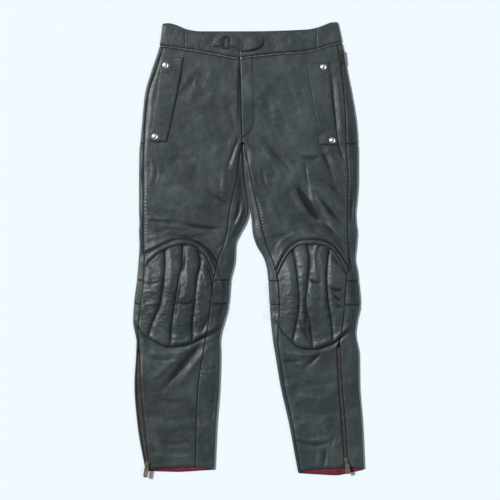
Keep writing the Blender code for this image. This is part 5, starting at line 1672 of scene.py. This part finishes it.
@dataclass
class WaistZip:
    """A decorative zip under the waistband: woven tape with a row of metal teeth."""

    leg: LegShape
    wardrobe: Wardrobe
    pitch: float = 1.7

    def build(self) -> None:
        """Build the tape and its teeth."""
        leg, side, tag = self.leg, self.leg.side, self.leg.tag
        near = float(leg.outer(np.array([470.0]))[0]) - side * (EDGE_RADIUS + 3.0)
        far = float(leg.inner_seam(np.array([460.0]))[0]) + side * (5.0 if side > 0 else 1.2)
        ends = sorted((near, far))
        half = HALF_ZIP - 0.5 * SEAM - 0.15

        def ground(x: Array, y: Array) -> tuple[Array, Array]:
            """Return the tape's height, sunk below the leather."""
            return leg.relief(x, y)[0] - 0.9, 0.0 * x

        grid = GridPiece(f"waist_zip_tape_{tag}", level(ends[0]), level(ends[1]),
                         shifted(WAIST_SEAM_LINE, half), shifted(WAIST_SEAM_LINE, -half), ground, 1.5)
        tape = grid.build(Panel(grid.name, wall=0.8, roll=0.2, dark=0.0))
        self.wardrobe.dress(tape, Slot.TAPE)
        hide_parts(f"waist_zip_{tag}")
        bm = bmesh.new()
        for number in range(int((ends[1] - ends[0] - 3.0) / self.pitch)):
            x = np.array([ends[0] + 1.5 + number * self.pitch])
            y = WAIST_SEAM_LINE(x) + 0.3 * (number % 2 * 2 - 1)
            z = leg.relief(x, y)[0] - 0.5
            place = Vector((float(x[0]) + PLACE.x, float(y[0]) + PLACE.y, float(z[0]))) * MM
            size = Matrix.Diagonal((0.95 * MM, 2.1 * MM, 1.3 * MM, 1.0))
            bmesh.ops.create_cube(bm, size=1.0, matrix=Matrix.Translation(place) @ size)
        mesh = bpy.data.meshes.new(f"waist_zip_teeth_{tag}")
        bm.to_mesh(mesh)
        bm.free()
        teeth = finish_mesh(mesh.name, mesh)
        self.wardrobe.dress(teeth, Slot.TEETH)


@dataclass
class AnkleZip:
    """The ankle's zip: its tape and teeth; the slider and pull stay the model's own solids."""

    leg: LegShape
    wardrobe: Wardrobe
    pitch: float = 1.9

    def middle(self, y: Array) -> Array:
        """Return the zip's middle line."""
        return 0.5 * (self.leg.zip_outer(y) + self.leg.zip_inner(y))

    def build(self) -> None:
        """Build the tape and the teeth."""
        leg, side, tag = self.leg, self.leg.side, self.leg.tag
        half = 0.5 * SEAM + 0.4
        lines = [shifted(leg.zip_outer, -side * half), shifted(leg.zip_inner, side * half)]
        left, right = lines if side < 0 else lines[::-1]

        def ground(x: Array, y: Array) -> tuple[Array, Array]:
            """Return the tape's height, sunk below the leather."""
            return leg.relief(x, y)[0] - 0.5, 0.0 * x

        grid = GridPiece(f"ankle_zip_tape_{tag}", left, right, level(leg.zip_top - 1.2),
                         shifted(leg.hem_front, 1.0), ground, 1.2)
        tape = grid.build(Panel(grid.name, wall=1.2, roll=0.2, dark=0.0))
        self.wardrobe.dress(tape, Slot.TAPE)
        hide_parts(f"ankle_zip_{tag}")
        top, foot = leg.zip_top - 4.0, float(leg.hem_front(np.array([leg.knee_x]))[0]) + 6.0
        bm = bmesh.new()
        for number in range(int((top - foot) / self.pitch)):
            y = np.array([top - number * self.pitch])
            x = self.middle(y) + 0.35 * (number % 2 * 2 - 1)
            z = leg.relief(x, y)[0] - 0.1
            place = Vector((float(x[0]) + PLACE.x, float(y[0]) + PLACE.y, float(z[0]))) * MM
            size = Matrix.Diagonal((1.7 * MM, 1.0 * MM, 1.3 * MM, 1.0))
            bmesh.ops.create_cube(bm, size=1.0, matrix=Matrix.Translation(place) @ size)
        mesh = bpy.data.meshes.new(f"ankle_zip_teeth_{tag}")
        bm.to_mesh(mesh)
        bm.free()
        self.wardrobe.dress(finish_mesh(mesh.name, mesh), Slot.BRASS)


class Studio:
    """The pale floor, the soft light and the camera over the middle."""

    def build(self) -> None:
        """Set the studio up."""
        self.lay_floor()
        self.hang_lights()
        self.place_camera()

    def lay_floor(self) -> None:
        """Lay a plain pale floor."""
        bm = bmesh.new()
        bmesh.ops.create_grid(bm, x_segments=1, y_segments=1, size=14.0)
        bmesh.ops.translate(bm, vec=(0.0, 0.0, -0.0004), verts=bm.verts[:])
        mesh = bpy.data.meshes.new("floor")
        bm.to_mesh(mesh)
        bm.free()
        floor = bpy.data.objects.new("floor", mesh)
        bpy.context.scene.collection.objects.link(floor)
        mat, _, shader = new_material("floor")
        shader.inputs["Base Color"].default_value = (0.80, 0.87, 0.93, 1.0)
        shader.inputs["Roughness"].default_value = 0.9
        mesh.materials.append(mat)

    def hang_lights(self) -> None:
        """Hang a soft key light on the upper left, with fill from all round."""
        world = bpy.data.worlds.new("studio_air")
        world.use_nodes = True
        sky = world.node_tree.nodes["Background"]
        sky.inputs["Color"].default_value = (0.93, 0.97, 1.0, 1.0)
        sky.inputs["Strength"].default_value = 0.16
        bpy.context.scene.world = world
        bpy.context.scene.view_settings.view_transform = "Standard"
        lamps = (("key", (-0.95, 0.5, 1.1), 12.0, 3.75), ("fill", (0.9, 0.3, 1.3), 40.0, 0.35))
        for name, way, spread, power in lamps:
            light = bpy.data.lights.new(name, "SUN")
            light.angle = math.radians(spread)
            light.energy = power
            lamp = bpy.data.objects.new(name, light)
            lamp.location = way
            lamp.rotation_euler = (-Vector(way)).to_track_quat("-Z", "Y").to_euler()
            bpy.context.scene.collection.objects.link(lamp)

    def place_camera(self) -> None:
        """Hang the camera straight above, to frame the trousers as the photo does."""
        height, picture = 3.0, 500 * PHOTO_SCALE * MM
        camera = bpy.data.cameras.new("camera")
        camera.sensor_width = 36.0
        camera.lens = 36.0 * (height - 0.007) / picture
        holder = bpy.data.objects.new("camera", camera)
        holder.location = ((PHOTO_CENTRE[0] + PLACE.x) * MM, (PHOTO_CENTRE[1] + PLACE.y) * MM, height)
        bpy.context.scene.collection.objects.link(holder)
        bpy.context.scene.camera = holder


RIGHT = LegShape("r", -1, RIGHT_STATIONS, RIGHT_GORES, RIGHT_ARCS, RIGHT_ZIP, RIGHT_FOLDS, RIGHT_PUCKERS,
                 RIGHT_TONE_AND_PAINTED_LIGHT, (RIGHT_HEM_FRONT, RIGHT_HEM_BACK))
LEFT = LegShape("l", 1, LEFT_STATIONS, LEFT_GORES, LEFT_ARCS, LEFT_ZIP, LEFT_FOLDS, LEFT_PUCKERS,
                LEFT_TONE_AND_PAINTED_LIGHT, (LEFT_HEM_FRONT, LEFT_HEM_BACK))


def main() -> None:
    """Build the trousers in order."""
    logging.basicConfig(level=logging.INFO, format="%(message)s")
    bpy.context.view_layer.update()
    Studio().build()
    wardrobe = Wardrobe()
    flaps = {"r": (RIGHT_FLAP_OUTER, RIGHT_FLAP_INNER, RIGHT_FLAP_TOP, RIGHT_FLAP_FOOT),
             "l": (LEFT_FLAP_OUTER, LEFT_FLAP_INNER, LEFT_FLAP_TOP, LEFT_FLAP_FOOT)}
    for leg in (RIGHT, LEFT):
        stitches = StitchBook(f"stitching_{leg.tag}")
        leather = LegLeather(leg, wardrobe, stitches, 0.4 if leg is RIGHT else 0.1)
        leather.build_backs()
        leather.build_fronts()
        leather.build_waistband()
        leather.build_lining()
        leather.sew()
        WaistZip(leg, wardrobe).build()
        AnkleZip(leg, wardrobe).build()
        PocketFlap(leg, wardrobe, stitches, *flaps[leg.tag]).build()
        stitches.close(wardrobe)
        log.info("leg %s is dressed", leg.tag)
    WaistFittings(RIGHT, LEFT, wardrobe).build()
    wardrobe.dress_nodes()
    log.info("the waist's fittings are dressed")


if __name__ == "__main__":
    main()
